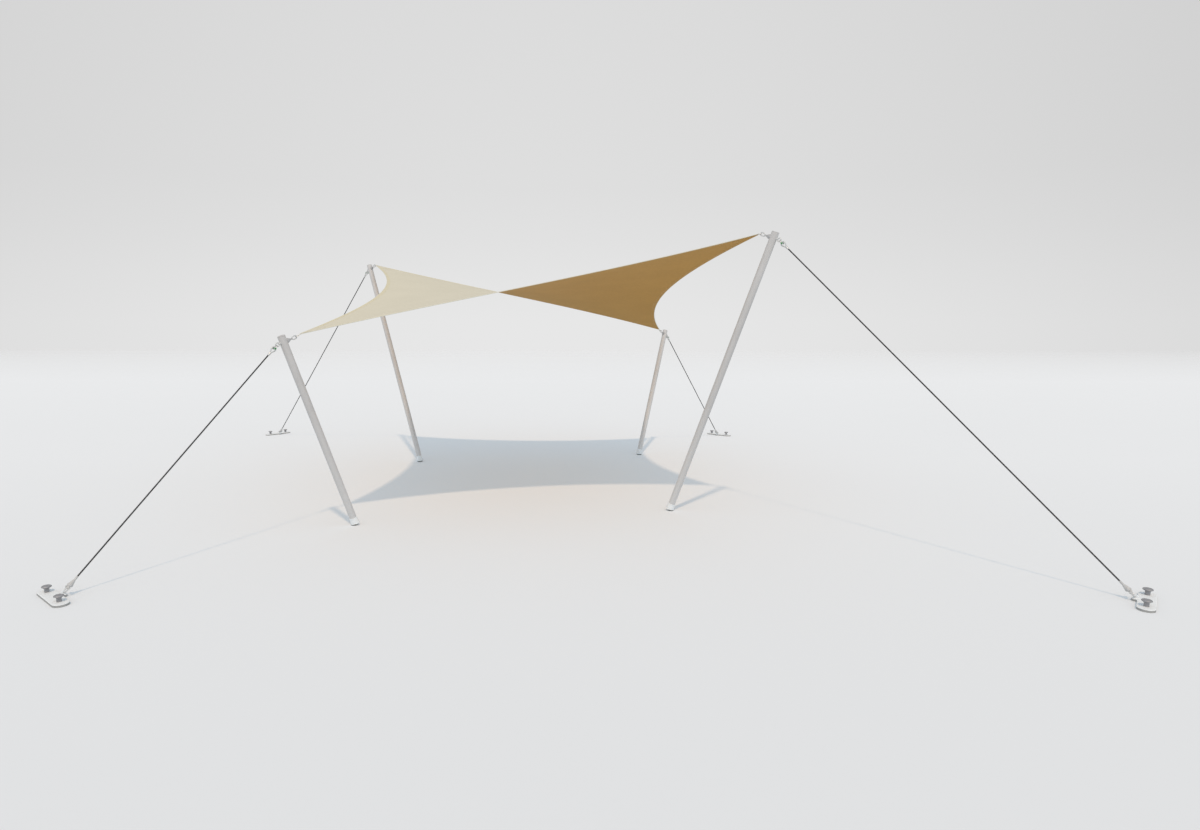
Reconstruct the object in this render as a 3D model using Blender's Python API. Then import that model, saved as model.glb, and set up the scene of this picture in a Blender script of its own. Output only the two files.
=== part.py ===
# Four-point saddle tent: one tensioned membrane between two low and two high corners.
# Each corner hangs from a leaning pole, and a cable stay ties the pole's head back to a
# ground plate held by two pegs. Metres, +Z up, origin on the ground under the middle.

import math
from dataclasses import dataclass

import bmesh
import bpy
import numpy as np
from mathutils import Matrix, Vector

# Touching pieces keep this gap.
GAP = 0.0003
MERGE_DISTANCE = 0.00002
SHARP_ANGLE = math.radians(35)

# Pole tube, its foot and its cap. The foot stands in line with the pole on a domed sole.
POLE_RADIUS = 0.038
POLE_WALL = 0.003
POLE_SIDES = 32
FOOT_HEIGHT = 0.095
FOOT_TOP_RADIUS = 0.0415
FOOT_BASE_RADIUS = 0.0455
FOOT_RING_RADIUS = 0.048
FOOT_RING_START = 0.0205
FOOT_RING_HEIGHT = 0.013
SOLE_RADIUS = 0.0595
SOLE_CENTRE = 0.0555
SPIGOT_TOP = 0.190
CAP_THICKNESS = 0.004
CAP_PLUG = 0.022

# Eye bolt through the head of the pole, square to the pole
BOLT_DROP = 0.064
BOLT_RADIUS = 0.008
ROD_SIDES = 6
MITRE_LIMIT = 0.94
RING_STEPS = 12
STAY_EYE_OFFSET = 0.069
STAY_EYE_RADIUS = 0.0175
EYE_ROD_RADIUS = 0.0055
COLLAR_RADIUS = 0.014
COLLAR_LENGTH = 0.0085
SADDLE_LENGTH = 0.038
SADDLE_TIP_RADIUS = 0.0175
SADDLE_BASE_RADIUS = 0.025
SEAT_DEPTH = 0.010
LINK_OFFSET = 0.122
LINK_HALF_LENGTH = 0.0255
LINK_HALF_WIDTH = 0.0150

# Ring and webbing at the membrane's corner
CORNER_ROD_RADIUS = 0.004
CORNER_RING_HALF_WIDTH = 0.0155
CORNER_RING_LENGTH = 0.024
CORNER_RING_NOSE = 0.010
CORNER_RING_BEND = 0.004
WEBBING_WIDTH = 0.020
WEBBING_THICKNESS = 0.005

# Stay: shackles, thimble, rope and lower socket
SHACKLE_ROD_RADIUS = 0.0045
BEND_STEPS = 8
PIN_RADIUS = 0.0055
PIN_HEAD_RADIUS = 0.009
PIN_HEAD_LENGTH = 0.0105
PIN_TAIL_LENGTH = 0.007
UPPER_PIN_DISTANCE = 0.050
UPPER_LEG_SPREAD = 0.0155
THIMBLE_ROD_RADIUS = 0.0058
THIMBLE_CROWN_RADIUS = 0.0215
THIMBLE_TIP_DISTANCE = 0.120
FERRULE_START = 0.101
FERRULE_RADIUS = 0.0118
FERRULE_END = 0.140
ROPE_RADIUS = 0.0065
SOCKET_START = 0.150
SOCKET_COLLAR = 0.110
SOCKET_NECK_RADIUS = 0.0080
SOCKET_COLLAR_RADIUS = 0.0105
SOCKET_HALF_WIDTH = 0.0185
SOCKET_HALF_DEPTH = 0.0105
SOCKET_TIP = 0.031
LOWER_PIN_DISTANCE = 0.045
LOWER_LEG_SPREAD = 0.0240

# Ground plate, a bar with round ends and a tongue that carries the lug, and the pegs
PLATE_THICKNESS = 0.022
PLATE_BEVEL = 0.005
PLATE_REACH = 0.073
PLATE_END_RADIUS = 0.060
PLATE_END_SPREAD = 0.185
TONGUE_RADIUS = 0.024
TONGUE_FILLET = 0.012
LUG_HEIGHT = 0.034
LUG_THICKNESS = 0.010
LUG_RADIUS = 0.018
LUG_HOLE_RADIUS = 0.0075
LUG_FRONT = 0.020
LUG_BACK = 0.034
PEG_SPREAD = 0.154
PEG_RADIUS = 0.018
PEG_HEAD_RADIUS = 0.0365
PEG_HEAD_DEPTH = 0.028
PEG_HEIGHT = 0.078
PEG_SIDES = 16

# Membrane: a net in balance under its own pull, with ropes in its four edges.
# The edge pull is stated for each division of the net, so its shape doesn't depend on them.
MEMBRANE_DIVISIONS = 24
MEMBRANE_THICKNESS = 0.005
EDGE_PULL = 0.935


@dataclass(frozen=True)
class Corner:
    foot_radius: float
    top_radius: float
    top_height: float
    anchor_radius: float
    membrane_radius: float
    membrane_height: float
    membrane_trim: float
    pin_side: int


CORNER_KINDS = {
    "low": Corner(2.717, 3.468, 2.041, 5.420, 3.284, 2.054, 0.026, 1),
    "high": Corner(2.271, 3.446, 3.083, 6.552, 3.284, 3.078, 0.034, -1),
}
CORNER_PLACES = (
    ("low_east", "low", 0),
    ("high_north", "high", 90),
    ("low_west", "low", 180),
    ("high_south", "high", 270),
)

# Name: colour, roughness, metallic
MATERIALS = {
    "canopy": ((0.62, 0.56, 0.45), 0.85, 0.0),
    "pole": ((0.52, 0.52, 0.51), 0.45, 0.6),
    "pole_cap": ((0.42, 0.42, 0.42), 0.55, 0.2),
    "foot": ((0.80, 0.80, 0.78), 0.50, 0.0),
    "eye_bolt": ((0.45, 0.45, 0.45), 0.35, 0.9),
    "corner_ring": ((0.58, 0.58, 0.57), 0.30, 0.9),
    "corner_webbing": ((0.66, 0.61, 0.50), 0.90, 0.0),
    "stay_shackle": ((0.50, 0.50, 0.50), 0.35, 0.9),
    "stay_thimble": ((0.60, 0.60, 0.59), 0.30, 0.9),
    "stay_rope": ((0.05, 0.05, 0.05), 0.70, 0.0),
    "stay_socket": ((0.52, 0.52, 0.52), 0.35, 0.9),
    "ground_shackle": ((0.55, 0.55, 0.55), 0.35, 0.9),
    "ground_plate": ((0.78, 0.78, 0.76), 0.50, 0.1),
    "peg": ((0.34, 0.34, 0.35), 0.50, 0.7),
}


def clear_scene():
    for obj in list(bpy.data.objects):
        bpy.data.objects.remove(obj, do_unlink=True)


def make_material(name):
    colour, roughness, metallic = MATERIALS[name]
    material = bpy.data.materials.new(name)
    material.use_nodes = True
    shader = material.node_tree.nodes["Principled BSDF"]
    shader.inputs["Base Color"].default_value = (*colour, 1.0)
    shader.inputs["Roughness"].default_value = roughness
    shader.inputs["Metallic"].default_value = metallic
    material.diffuse_color = (*colour, 1.0)
    return material


def finish_mesh(bm, name):
    bmesh.ops.remove_doubles(bm, verts=bm.verts, dist=MERGE_DISTANCE)
    bmesh.ops.recalc_face_normals(bm, faces=bm.faces)
    mesh = bpy.data.meshes.new(name)
    bm.to_mesh(mesh)
    bm.free()
    return mesh


def turned(name, profile, sides, closed=False):
    # A profile of (radius, height) points turned round Z. A closed profile makes a tube.
    bm = bmesh.new()
    verts = [bm.verts.new((radius, 0.0, height)) for radius, height in profile]
    edges = [bm.edges.new(pair) for pair in zip(verts, verts[1:])]
    if closed:
        edges.append(bm.edges.new((verts[-1], verts[0])))
    bmesh.ops.spin(
        bm, geom=verts + edges, axis=(0, 0, 1), cent=(0, 0, 0),
        steps=sides, angle=math.tau, use_merge=True,
    )
    return finish_mesh(bm, name)


def bridged(name, rings, closed=False):
    # Rings with equal numbers of points, joined one to the next, with filled ends.
    bm = bmesh.new()
    loops = [[bm.verts.new(point) for point in ring] for ring in rings]
    pairs = list(zip(loops, loops[1:]))
    if closed:
        pairs.append((loops[-1], loops[0]))
    count = len(loops[0])
    for first, second in pairs:
        for index in range(count):
            following = (index + 1) % count
            bm.faces.new((first[index], first[following], second[following], second[index]))
    if not closed:
        bm.faces.new(loops[0])
        bm.faces.new(loops[-1])
    return finish_mesh(bm, name)


def rod(name, path, radius, normal, closed=False, sides=ROD_SIDES):
    # A round bar along a path that lies in one plane, given by the plane's normal.
    # Bends are mitred, so that every stretch is a straight prism within the radius.
    normal = Vector(normal).normalized()
    path = [Vector(point) for point in path]
    count = len(path)
    sections = []
    for index, point in enumerate(path):
        before = point - path[index - 1]
        after = path[(index + 1) % count] - point
        if not closed and index == 0:
            before = after
        if not closed and index == count - 1:
            after = before
        side = normal.cross(before.normalized() + after.normalized()).normalized()
        sections.append((point, side, max(MITRE_LIMIT, math.cos(before.angle(after) / 2))))
    slim = radius * min(bend for point, side, bend in sections)
    rings = []
    for point, side, bend in sections:
        turns = [math.tau * step / sides for step in range(sides)]
        rings.append([
            point + slim * (math.cos(a) / bend * side + math.sin(a) * normal) for a in turns
        ])
    return bridged(name, rings, closed)


def slab(name, outline, start, end):
    # An outline of (x, z) points pulled along Y.
    return bridged(name, [[(x, level, z) for x, z in outline] for level in (start, end)])


def cylinder(name, radius, start, end, axis, sides=12, end_radius=None):
    end_radius = radius if end_radius is None else end_radius
    mesh = turned(name, [(0, start), (radius, start), (end_radius, end), (0, end)], sides)
    if axis == "X":
        mesh.transform(Matrix.Rotation(math.radians(90), 4, "Y"))
    if axis == "Y":
        mesh.transform(Matrix.Rotation(math.radians(-90), 4, "X"))
    return mesh


def moved(mesh, x=0.0, y=0.0, z=0.0):
    mesh.transform(Matrix.Translation((x, y, z)))
    return mesh


def combined(mesh, tools, operation):
    # One exact Boolean after another. The tools are used up.
    for tool_mesh in tools:
        target = bpy.data.objects.new("target", mesh)
        tool = bpy.data.objects.new("tool", tool_mesh)
        for obj in (target, tool):
            bpy.context.scene.collection.objects.link(obj)
        modifier = target.modifiers.new("combine", "BOOLEAN")
        modifier.object = tool
        modifier.operation = operation
        modifier.solver = "EXACT"
        graph = bpy.context.evaluated_depsgraph_get()
        result = bpy.data.meshes.new_from_object(target.evaluated_get(graph))
        result.name = mesh.name
        for obj in (target, tool):
            bpy.data.objects.remove(obj)
        mesh = result
    return mesh


def arc(centre, radius, start, end, steps):
    angles = [math.radians(start + (end - start) * step / steps) for step in range(steps + 1)]
    return [(centre[0] + radius * math.cos(a), centre[1] + radius * math.sin(a)) for a in angles]


def ring_points(radius, start):
    # A closed ring with one of its points in the start direction, in degrees.
    return arc((0, 0), radius, start, start + 360, RING_STEPS)[:-1]


# Frames of one corner: X outward, Y along the plan circle, Z up


def pole_lean(corner):
    return math.atan2(corner.top_radius - corner.foot_radius, corner.top_height)


def pole_length(corner):
    return math.hypot(corner.top_radius - corner.foot_radius, corner.top_height)


def pole_frame(corner):
    # Z runs up the pole, and X points outward and down, square to it.
    place = Matrix.Translation((corner.foot_radius, 0, 0))
    return place @ Matrix.Rotation(pole_lean(corner), 4, "Y")


def bolt_height(corner):
    return pole_length(corner) - BOLT_DROP


def stay_ends(corner):
    top = pole_frame(corner) @ Vector((STAY_EYE_OFFSET, 0, bolt_height(corner)))
    return top, Vector((corner.anchor_radius, 0, LUG_HEIGHT))


def stay_fall(corner):
    top, bottom = stay_ends(corner)
    return math.atan2(top.z - bottom.z, bottom.x - top.x)


def stay_frame(corner):
    # Z runs down the stay from the eye on the pole.
    turn = math.radians(90) + stay_fall(corner)
    return Matrix.Translation(stay_ends(corner)[0]) @ Matrix.Rotation(turn, 4, "Y")


def ground_frame(corner):
    # Z runs up the stay from the lug's hole.
    turn = stay_fall(corner) - math.radians(90)
    return Matrix.Translation(stay_ends(corner)[1]) @ Matrix.Rotation(turn, 4, "Y")


def stay_length(corner):
    top, bottom = stay_ends(corner)
    return (bottom - top).length


def link_point(corner):
    # Where the membrane's corner ring crosses the link on the pole.
    reach = LINK_OFFSET + LINK_HALF_LENGTH - EYE_ROD_RADIUS - CORNER_ROD_RADIUS - GAP
    return pole_frame(corner) @ Vector((-reach, 0, bolt_height(corner)))


def membrane_end(corner):
    # The middle of the membrane's trimmed corner.
    nodes = membrane_nodes()
    last = MEMBRANE_DIVISIONS
    if corner is CORNER_KINDS["low"]:
        tip, inner = nodes[0, 0], nodes[1, 1]
    else:
        tip, inner = nodes[last, 0], nodes[last - 1, 1]
    tip_radius = math.hypot(tip[0], tip[1])
    share = corner.membrane_trim / (tip_radius - math.hypot(inner[0], inner[1]))
    height = tip[2] + share * (inner[2] - tip[2])
    return Vector((tip_radius - corner.membrane_trim, 0, height))


def corner_frame(corner):
    # Z runs inward from the link to the membrane.
    start = link_point(corner)
    run = membrane_end(corner) - start
    return Matrix.Translation(start) @ Matrix.Rotation(math.atan2(run.x, run.z), 4, "Y")


# Pieces of one corner


def make_foot(corner):
    # A sleeve and a ring on a domed sole, which the level ground cuts flat.
    inner = POLE_RADIUS - POLE_WALL - GAP
    ring_top = FOOT_RING_START + FOOT_RING_HEIGHT
    sole_edge = -math.degrees(math.acos(FOOT_BASE_RADIUS / SOLE_RADIUS))
    profile = arc((0, SOLE_CENTRE), SOLE_RADIUS, -90, sole_edge, 6)
    profile[0] = (0, SOLE_CENTRE - SOLE_RADIUS)
    profile += [
        (FOOT_RING_RADIUS, FOOT_RING_START), (FOOT_RING_RADIUS, ring_top - 0.001),
        (FOOT_RING_RADIUS - 0.001, ring_top), (FOOT_BASE_RADIUS, ring_top),
        (FOOT_TOP_RADIUS, FOOT_HEIGHT - 0.006), (FOOT_TOP_RADIUS - 0.001, FOOT_HEIGHT - GAP),
        (inner, FOOT_HEIGHT - GAP), (inner, SPIGOT_TOP), (0, SPIGOT_TOP),
    ]
    mesh = turned("foot", profile, POLE_SIDES)
    mesh.transform(pole_frame(corner))
    below = cylinder("below", 0.2, -0.2, 0.0, "Z")
    mesh = combined(mesh, [moved(below, x=corner.foot_radius)], "DIFFERENCE")
    mesh.transform(pole_frame(corner).inverted())
    return mesh


def make_pole(corner):
    inner = POLE_RADIUS - POLE_WALL
    top = pole_length(corner) - CAP_THICKNESS
    profile = [(POLE_RADIUS, FOOT_HEIGHT), (POLE_RADIUS, top), (inner, top), (inner, FOOT_HEIGHT)]
    mesh = turned("pole", profile, POLE_SIDES, closed=True)
    hole = cylinder("hole", BOLT_RADIUS + GAP, -2 * POLE_RADIUS, 2 * POLE_RADIUS, "X")
    return combined(mesh, [moved(hole, z=bolt_height(corner))], "DIFFERENCE")


def make_pole_cap(corner):
    top = pole_length(corner)
    plug = POLE_RADIUS - POLE_WALL - GAP
    under = top - CAP_THICKNESS + GAP
    profile = [
        (0, top - CAP_PLUG), (plug, top - CAP_PLUG), (plug, under), (POLE_RADIUS, under),
        (POLE_RADIUS, top - 0.001),
        (POLE_RADIUS - 0.001, top), (0, top),
    ]
    return turned("pole_cap", profile, POLE_SIDES)


def make_eye_bolt(corner):
    # Shank, round eye outside, saddle washer and long eye inside, welded into one.
    shank_end = LINK_OFFSET - LINK_HALF_LENGTH
    eye_start = STAY_EYE_OFFSET - STAY_EYE_RADIUS
    shank = cylinder("eye_bolt", BOLT_RADIUS, -shank_end + 0.001, eye_start - 0.001, "X")
    pull = math.degrees(pole_lean(corner) - stay_fall(corner))
    circle = [(STAY_EYE_OFFSET + x, 0, z) for x, z in ring_points(STAY_EYE_RADIUS, pull)]
    eye = rod("eye", circle, EYE_ROD_RADIUS, (0, 1, 0), closed=True)
    run = LINK_HALF_LENGTH - LINK_HALF_WIDTH
    oval = arc((-LINK_OFFSET - run, 0), LINK_HALF_WIDTH, 90, 270, 6)
    oval += arc((-LINK_OFFSET + run, 0), LINK_HALF_WIDTH, -90, 90, 6)
    link = rod("link", [(x, 0, z) for x, z in oval], EYE_ROD_RADIUS, (0, 1, 0), closed=True)
    seat = POLE_RADIUS - SEAT_DEPTH
    collar = cylinder("collar", COLLAR_RADIUS, seat, POLE_RADIUS + COLLAR_LENGTH, "X")
    saddle = cylinder(
        "saddle", SADDLE_TIP_RADIUS, -POLE_RADIUS - SADDLE_LENGTH, -seat, "X", 14,
        SADDLE_BASE_RADIUS,
    )
    tube = cylinder("tube", POLE_RADIUS + GAP, -0.05, 0.05, "Z", POLE_SIDES)
    seats = [combined(piece, [tube.copy()], "DIFFERENCE") for piece in (collar, saddle)]
    mesh = combined(shank, seats + [eye, link], "UNION")
    return moved(mesh, z=bolt_height(corner))


def make_corner_ring(corner):
    # A ring with a round nose through the link and a straight bar for the webbing.
    bend = CORNER_RING_BEND
    side = CORNER_RING_HALF_WIDTH - bend
    far = CORNER_RING_LENGTH - bend
    outline = arc((0, CORNER_RING_NOSE), CORNER_RING_NOSE, 210, 330, 6)
    outline += arc((side, far), bend, 0, 90, 2)
    outline += arc((-side, far), bend, 90, 180, 2)
    path = [(0, y, z) for y, z in outline]
    return rod("corner_ring", path, CORNER_ROD_RADIUS, (1, 0, 0), closed=True)


def webbing_length(corner):
    return (membrane_end(corner) - link_point(corner)).length


def make_corner_webbing(corner):
    # A strap folded round the ring's bar, sewn flat, and ending at the membrane.
    hole = CORNER_ROD_RADIUS + GAP
    outer = hole + WEBBING_THICKNESS * 0.6
    half = WEBBING_THICKNESS / 2
    bar = CORNER_RING_LENGTH
    flat_start = math.degrees(math.asin(half / outer))
    outline = arc((0, bar), outer, 90 + flat_start, 450 - flat_start, 14)
    end = webbing_length(corner) - GAP
    outline += [(half, end), (-half, end)]
    strap = slab("corner_webbing", outline, -WEBBING_WIDTH / 2, WEBBING_WIDTH / 2)
    bore = cylinder("bore", hole, -WEBBING_WIDTH, WEBBING_WIDTH, "Y")
    return combined(strap, [moved(bore, z=bar)], "DIFFERENCE")


def shackle(name, crown, pin_distance, spread, head_side):
    # A U-shaped bow with its crown at Z = crown and a headed pin through its legs.
    bend = arc((0, crown + spread), spread, 180, 360, BEND_STEPS)
    leg_end = pin_distance + PIN_HEAD_RADIUS
    path = [(-spread, leg_end)] + bend + [(spread, leg_end)]
    bow = rod(name, [(0, y, z) for y, z in path], SHACKLE_ROD_RADIUS, (1, 0, 0))
    reach = spread + SHACKLE_ROD_RADIUS
    neck = reach + 0.001
    profile = [
        (0, -reach - PIN_TAIL_LENGTH), (PIN_RADIUS, -reach - PIN_TAIL_LENGTH), (PIN_RADIUS, neck),
        (PIN_HEAD_RADIUS, neck), (PIN_HEAD_RADIUS, neck + PIN_HEAD_LENGTH),
        (0, neck + PIN_HEAD_LENGTH),
    ]
    pin = turned("pin", profile, 10)
    pin.transform(Matrix.Rotation(math.radians(-90 * head_side), 4, "X"))
    return combined(bow, [moved(pin, z=pin_distance)], "UNION")


def make_stay_shackle(corner):
    crown = STAY_EYE_RADIUS - EYE_ROD_RADIUS - SHACKLE_ROD_RADIUS - GAP
    return shackle("stay_shackle", crown, UPPER_PIN_DISTANCE, UPPER_LEG_SPREAD, corner.pin_side)


def make_stay_thimble(corner):
    # A teardrop eye round the pin, pressed into a tapered ferrule.
    slack = THIMBLE_CROWN_RADIUS - THIMBLE_ROD_RADIUS - PIN_RADIUS - GAP
    centre = UPPER_PIN_DISTANCE + slack
    lead = math.degrees(math.asin(THIMBLE_CROWN_RADIUS / (THIMBLE_TIP_DISTANCE - centre)))
    crown = arc((0, centre), THIMBLE_CROWN_RADIUS, lead, -180 - lead, 12)
    path = [(x, 0, z) for x, z in crown]
    neck = [0.35, 0.7]
    left, right = Vector(path[-1]), Vector(path[0])
    tip = Vector((0, 0, THIMBLE_TIP_DISTANCE - 0.006))
    path += [tuple(left.lerp(tip, share)) for share in neck]
    path += [tuple(tip)]
    path += [tuple(right.lerp(tip, share)) for share in reversed(neck)]
    loop = rod("stay_thimble", path, THIMBLE_ROD_RADIUS, (0, 1, 0), closed=True)
    wide = FERRULE_RADIUS
    profile = [
        (0, FERRULE_START), (wide - 0.0013, FERRULE_START), (wide, FERRULE_START + 0.004),
        (wide - 0.0006, FERRULE_END - 0.012), (wide - 0.0028, FERRULE_END - 0.001),
        (wide - 0.0038, FERRULE_END), (0, FERRULE_END),
    ]
    return combined(loop, [turned("ferrule", profile, 12)], "UNION")


def make_stay_rope(corner):
    start = FERRULE_END + GAP
    end = stay_length(corner) - SOCKET_START - GAP
    return cylinder("stay_rope", ROPE_RADIUS, start, end, "Z")


def make_stay_socket(corner):
    # A round neck with a collar that widens into a wedge with a hole for the pin.
    # Z runs up the stay. A section has a height, a half width along the pin and a half depth.
    neck, collar = SOCKET_NECK_RADIUS, SOCKET_COLLAR_RADIUS
    wide, deep = SOCKET_HALF_WIDTH, SOCKET_HALF_DEPTH
    sections = (
        (SOCKET_START, neck - 0.001, neck - 0.001), (SOCKET_START - 0.001, neck, neck),
        (SOCKET_COLLAR + 0.004, neck + 0.0005, neck + 0.0005), (SOCKET_COLLAR, collar, collar),
        (SOCKET_COLLAR - 0.012, collar, collar - 0.0005), (0.070, 0.82 * wide, deep - 0.0005),
        (LOWER_PIN_DISTANCE + 0.006, wide, deep), (LOWER_PIN_DISTANCE - 0.006, wide, deep),
        (SOCKET_TIP + 0.003, 0.94 * wide, 0.9 * deep), (SOCKET_TIP, 0.8 * wide, 0.65 * deep),
    )
    sides = 12
    rings = []
    for height, half_width, half_depth in sections:
        turns = [math.tau * step / sides for step in range(sides)]
        rings.append([(half_depth * math.cos(a), half_width * math.sin(a), height) for a in turns])
    bore = cylinder("bore", PIN_RADIUS + GAP, -2 * wide, 2 * wide, "Y", 10)
    wedge = bridged("stay_socket", rings)
    return combined(wedge, [moved(bore, z=LOWER_PIN_DISTANCE)], "DIFFERENCE")


def make_ground_shackle(corner):
    rise = LUG_THICKNESS / 2 * math.tan(math.radians(90 / BEND_STEPS))
    crown = LUG_HOLE_RADIUS - SHACKLE_ROD_RADIUS - rise - GAP
    return shackle(
        "ground_shackle", crown, LOWER_PIN_DISTANCE, LOWER_LEG_SPREAD, -corner.pin_side
    )


def plate_outline(corner, inset):
    # Anticlockwise round the bar, with a filleted tongue toward the stay.
    anchor = corner.anchor_radius
    middle = anchor + PLATE_REACH
    radius = PLATE_END_RADIUS - inset
    tongue = TONGUE_RADIUS - inset
    fillet = TONGUE_FILLET + inset
    bend = (middle - PLATE_END_RADIUS - TONGUE_FILLET, TONGUE_RADIUS + TONGUE_FILLET)
    outline = arc((middle, -PLATE_END_SPREAD), radius, -180, 0, 12)
    outline += arc((middle, PLATE_END_SPREAD), radius, 0, 180, 12)
    outline += arc(bend, fillet, 0, -90, 4)
    outline += arc((anchor, 0), tongue, 90, 270, 8)
    outline += arc((bend[0], -bend[1]), fillet, 90, 0, 4)
    return outline


def make_ground_plate(corner):
    # The bar with its tongue, a drilled lug and two peg holes.
    anchor = corner.anchor_radius
    levels = (
        (0, 0.0), (PLATE_THICKNESS - PLATE_BEVEL, 0.0),
        (PLATE_THICKNESS - 0.3 * PLATE_BEVEL, 0.3 * PLATE_BEVEL), (PLATE_THICKNESS, PLATE_BEVEL),
    )
    rings = [
        [(x, y, level) for x, y in plate_outline(corner, inset)] for level, inset in levels
    ]
    plate = bridged("ground_plate", rings)
    root, edge = PLATE_THICKNESS / 2, PLATE_THICKNESS + 0.001
    lug_outline = arc((anchor, LUG_HEIGHT), LUG_RADIUS, 0, 180, 8)
    lug_outline += [(anchor - LUG_FRONT, edge), (anchor - LUG_FRONT, root)]
    lug_outline += [(anchor + LUG_BACK, root), (anchor + LUG_BACK, edge)]
    lug = slab("lug", lug_outline, -LUG_THICKNESS / 2, LUG_THICKNESS / 2)
    eye = cylinder("eye", LUG_HOLE_RADIUS, -LUG_THICKNESS, LUG_THICKNESS, "Y", 16)
    lug = combined(lug, [moved(eye, x=anchor, z=LUG_HEIGHT)], "DIFFERENCE")
    plate = combined(plate, [lug], "UNION")
    holes = []
    for side in (-1, 1):
        hole = cylinder("hole", PEG_RADIUS + GAP, -0.05, 0.05, "Z", PEG_SIDES)
        holes.append(moved(hole, x=anchor + PLATE_REACH, y=side * PEG_SPREAD))
    return combined(plate, holes, "DIFFERENCE")


def make_peg(corner):
    # A bar with a mushroom head, cut off level with the ground.
    head = PEG_HEAD_RADIUS
    top = PEG_HEIGHT
    profile = [
        (0, 0), (PEG_RADIUS, 0), (PEG_RADIUS, top - PEG_HEAD_DEPTH), (0.8 * head, top - 0.018),
        (head, top - 0.012), (0.93 * head, top - 0.006), (0.6 * head, top - 0.0015), (0, top),
    ]
    return turned("peg", profile, PEG_SIDES)


# Membrane


def membrane_nodes():
    # Every free node of the net sits where the pulls of its four neighbours cancel.
    n = MEMBRANE_DIVISIONS
    edge_pull = EDGE_PULL * n
    side = n + 1
    low, high = CORNER_KINDS["low"], CORNER_KINDS["high"]
    fixed = {
        0: (low.membrane_radius, 0, low.membrane_height),
        n * side: (0, high.membrane_radius, high.membrane_height),
        side * side - 1: (-low.membrane_radius, 0, low.membrane_height),
        n: (0, -high.membrane_radius, high.membrane_height),
    }
    stiffness = np.zeros((side * side, side * side))
    for i in range(side):
        for j in range(side):
            here = i * side + j
            links = []
            if i < n:
                links.append((here + side, edge_pull if j in (0, n) else 1.0))
            if j < n:
                links.append((here + 1, edge_pull if i in (0, n) else 1.0))
            for there, pull in links:
                stiffness[here, here] += pull
                stiffness[there, there] += pull
                stiffness[here, there] -= pull
                stiffness[there, here] -= pull
    held = sorted(fixed)
    free = [index for index in range(side * side) if index not in fixed]
    places = np.zeros((side * side, 3))
    places[held] = [fixed[index] for index in held]
    load = -stiffness[np.ix_(free, held)] @ places[held]
    places[free] = np.linalg.solve(stiffness[np.ix_(free, free)], load)
    return places.reshape(side, side, 3)


def make_canopy():
    nodes = membrane_nodes()
    along_i = np.gradient(nodes, axis=0)
    along_j = np.gradient(nodes, axis=1)
    normals = np.cross(along_j, along_i)
    normals *= np.sign(normals[..., 2:])
    normals /= np.linalg.norm(normals, axis=2, keepdims=True)
    n = MEMBRANE_DIVISIONS
    bm = bmesh.new()
    layers = []
    for side in (0.5, -0.5):
        points = nodes + side * MEMBRANE_THICKNESS * normals
        layers.append([[bm.verts.new(point) for point in row] for row in points])
    for layer in layers:
        for i in range(n):
            for j in range(n):
                first, last = layer[i][j], layer[i + 1][j + 1]
                bm.faces.new((first, layer[i + 1][j], last))
                bm.faces.new((first, last, layer[i][j + 1]))
    border = [(i, 0) for i in range(n)] + [(n, j) for j in range(n)]
    border += [(i, n) for i in range(n, 0, -1)] + [(0, j) for j in range(n, 0, -1)]
    upper, lower = layers
    for (i, j), (k, m) in zip(border, border[1:] + border[:1]):
        bm.faces.new((upper[i][j], upper[k][m], lower[k][m], lower[i][j]))
    bmesh.ops.recalc_face_normals(bm, faces=bm.faces)
    for name, kind, turn in CORNER_PLACES:
        corner = CORNER_KINDS[kind]
        spin = Matrix.Rotation(math.radians(turn), 4, "Z")
        frame = corner_frame(corner)
        inward = (spin @ frame).to_3x3() @ Vector((0, 0, 1))
        cut = bmesh.ops.bisect_plane(
            bm, geom=bm.verts[:] + bm.edges[:] + bm.faces[:], dist=MERGE_DISTANCE,
            plane_co=spin @ membrane_end(corner), plane_no=-inward, clear_outer=True,
        )
        rim = [item for item in cut["geom_cut"] if isinstance(item, bmesh.types.BMEdge)]
        bmesh.ops.edgenet_fill(bm, edges=rim)
    return finish_mesh(bm, "canopy")


CORNER_PIECES = (
    ("foot", make_foot, pole_frame),
    ("pole", make_pole, pole_frame),
    ("pole_cap", make_pole_cap, pole_frame),
    ("eye_bolt", make_eye_bolt, pole_frame),
    ("corner_ring", make_corner_ring, corner_frame),
    ("corner_webbing", make_corner_webbing, corner_frame),
    ("stay_shackle", make_stay_shackle, stay_frame),
    ("stay_thimble", make_stay_thimble, stay_frame),
    ("stay_rope", make_stay_rope, stay_frame),
    ("stay_socket", make_stay_socket, ground_frame),
    ("ground_shackle", make_ground_shackle, ground_frame),
    ("ground_plate", make_ground_plate, None),
)


def place(name, mesh, parent, frame, material):
    if not mesh.materials:
        mesh.materials.append(material)
    mesh.shade_smooth()
    mesh.set_sharp_from_angle(angle=SHARP_ANGLE)
    obj = bpy.data.objects.new(name, mesh)
    bpy.context.scene.collection.objects.link(obj)
    obj.parent = parent
    obj.matrix_local = frame
    return obj


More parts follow.
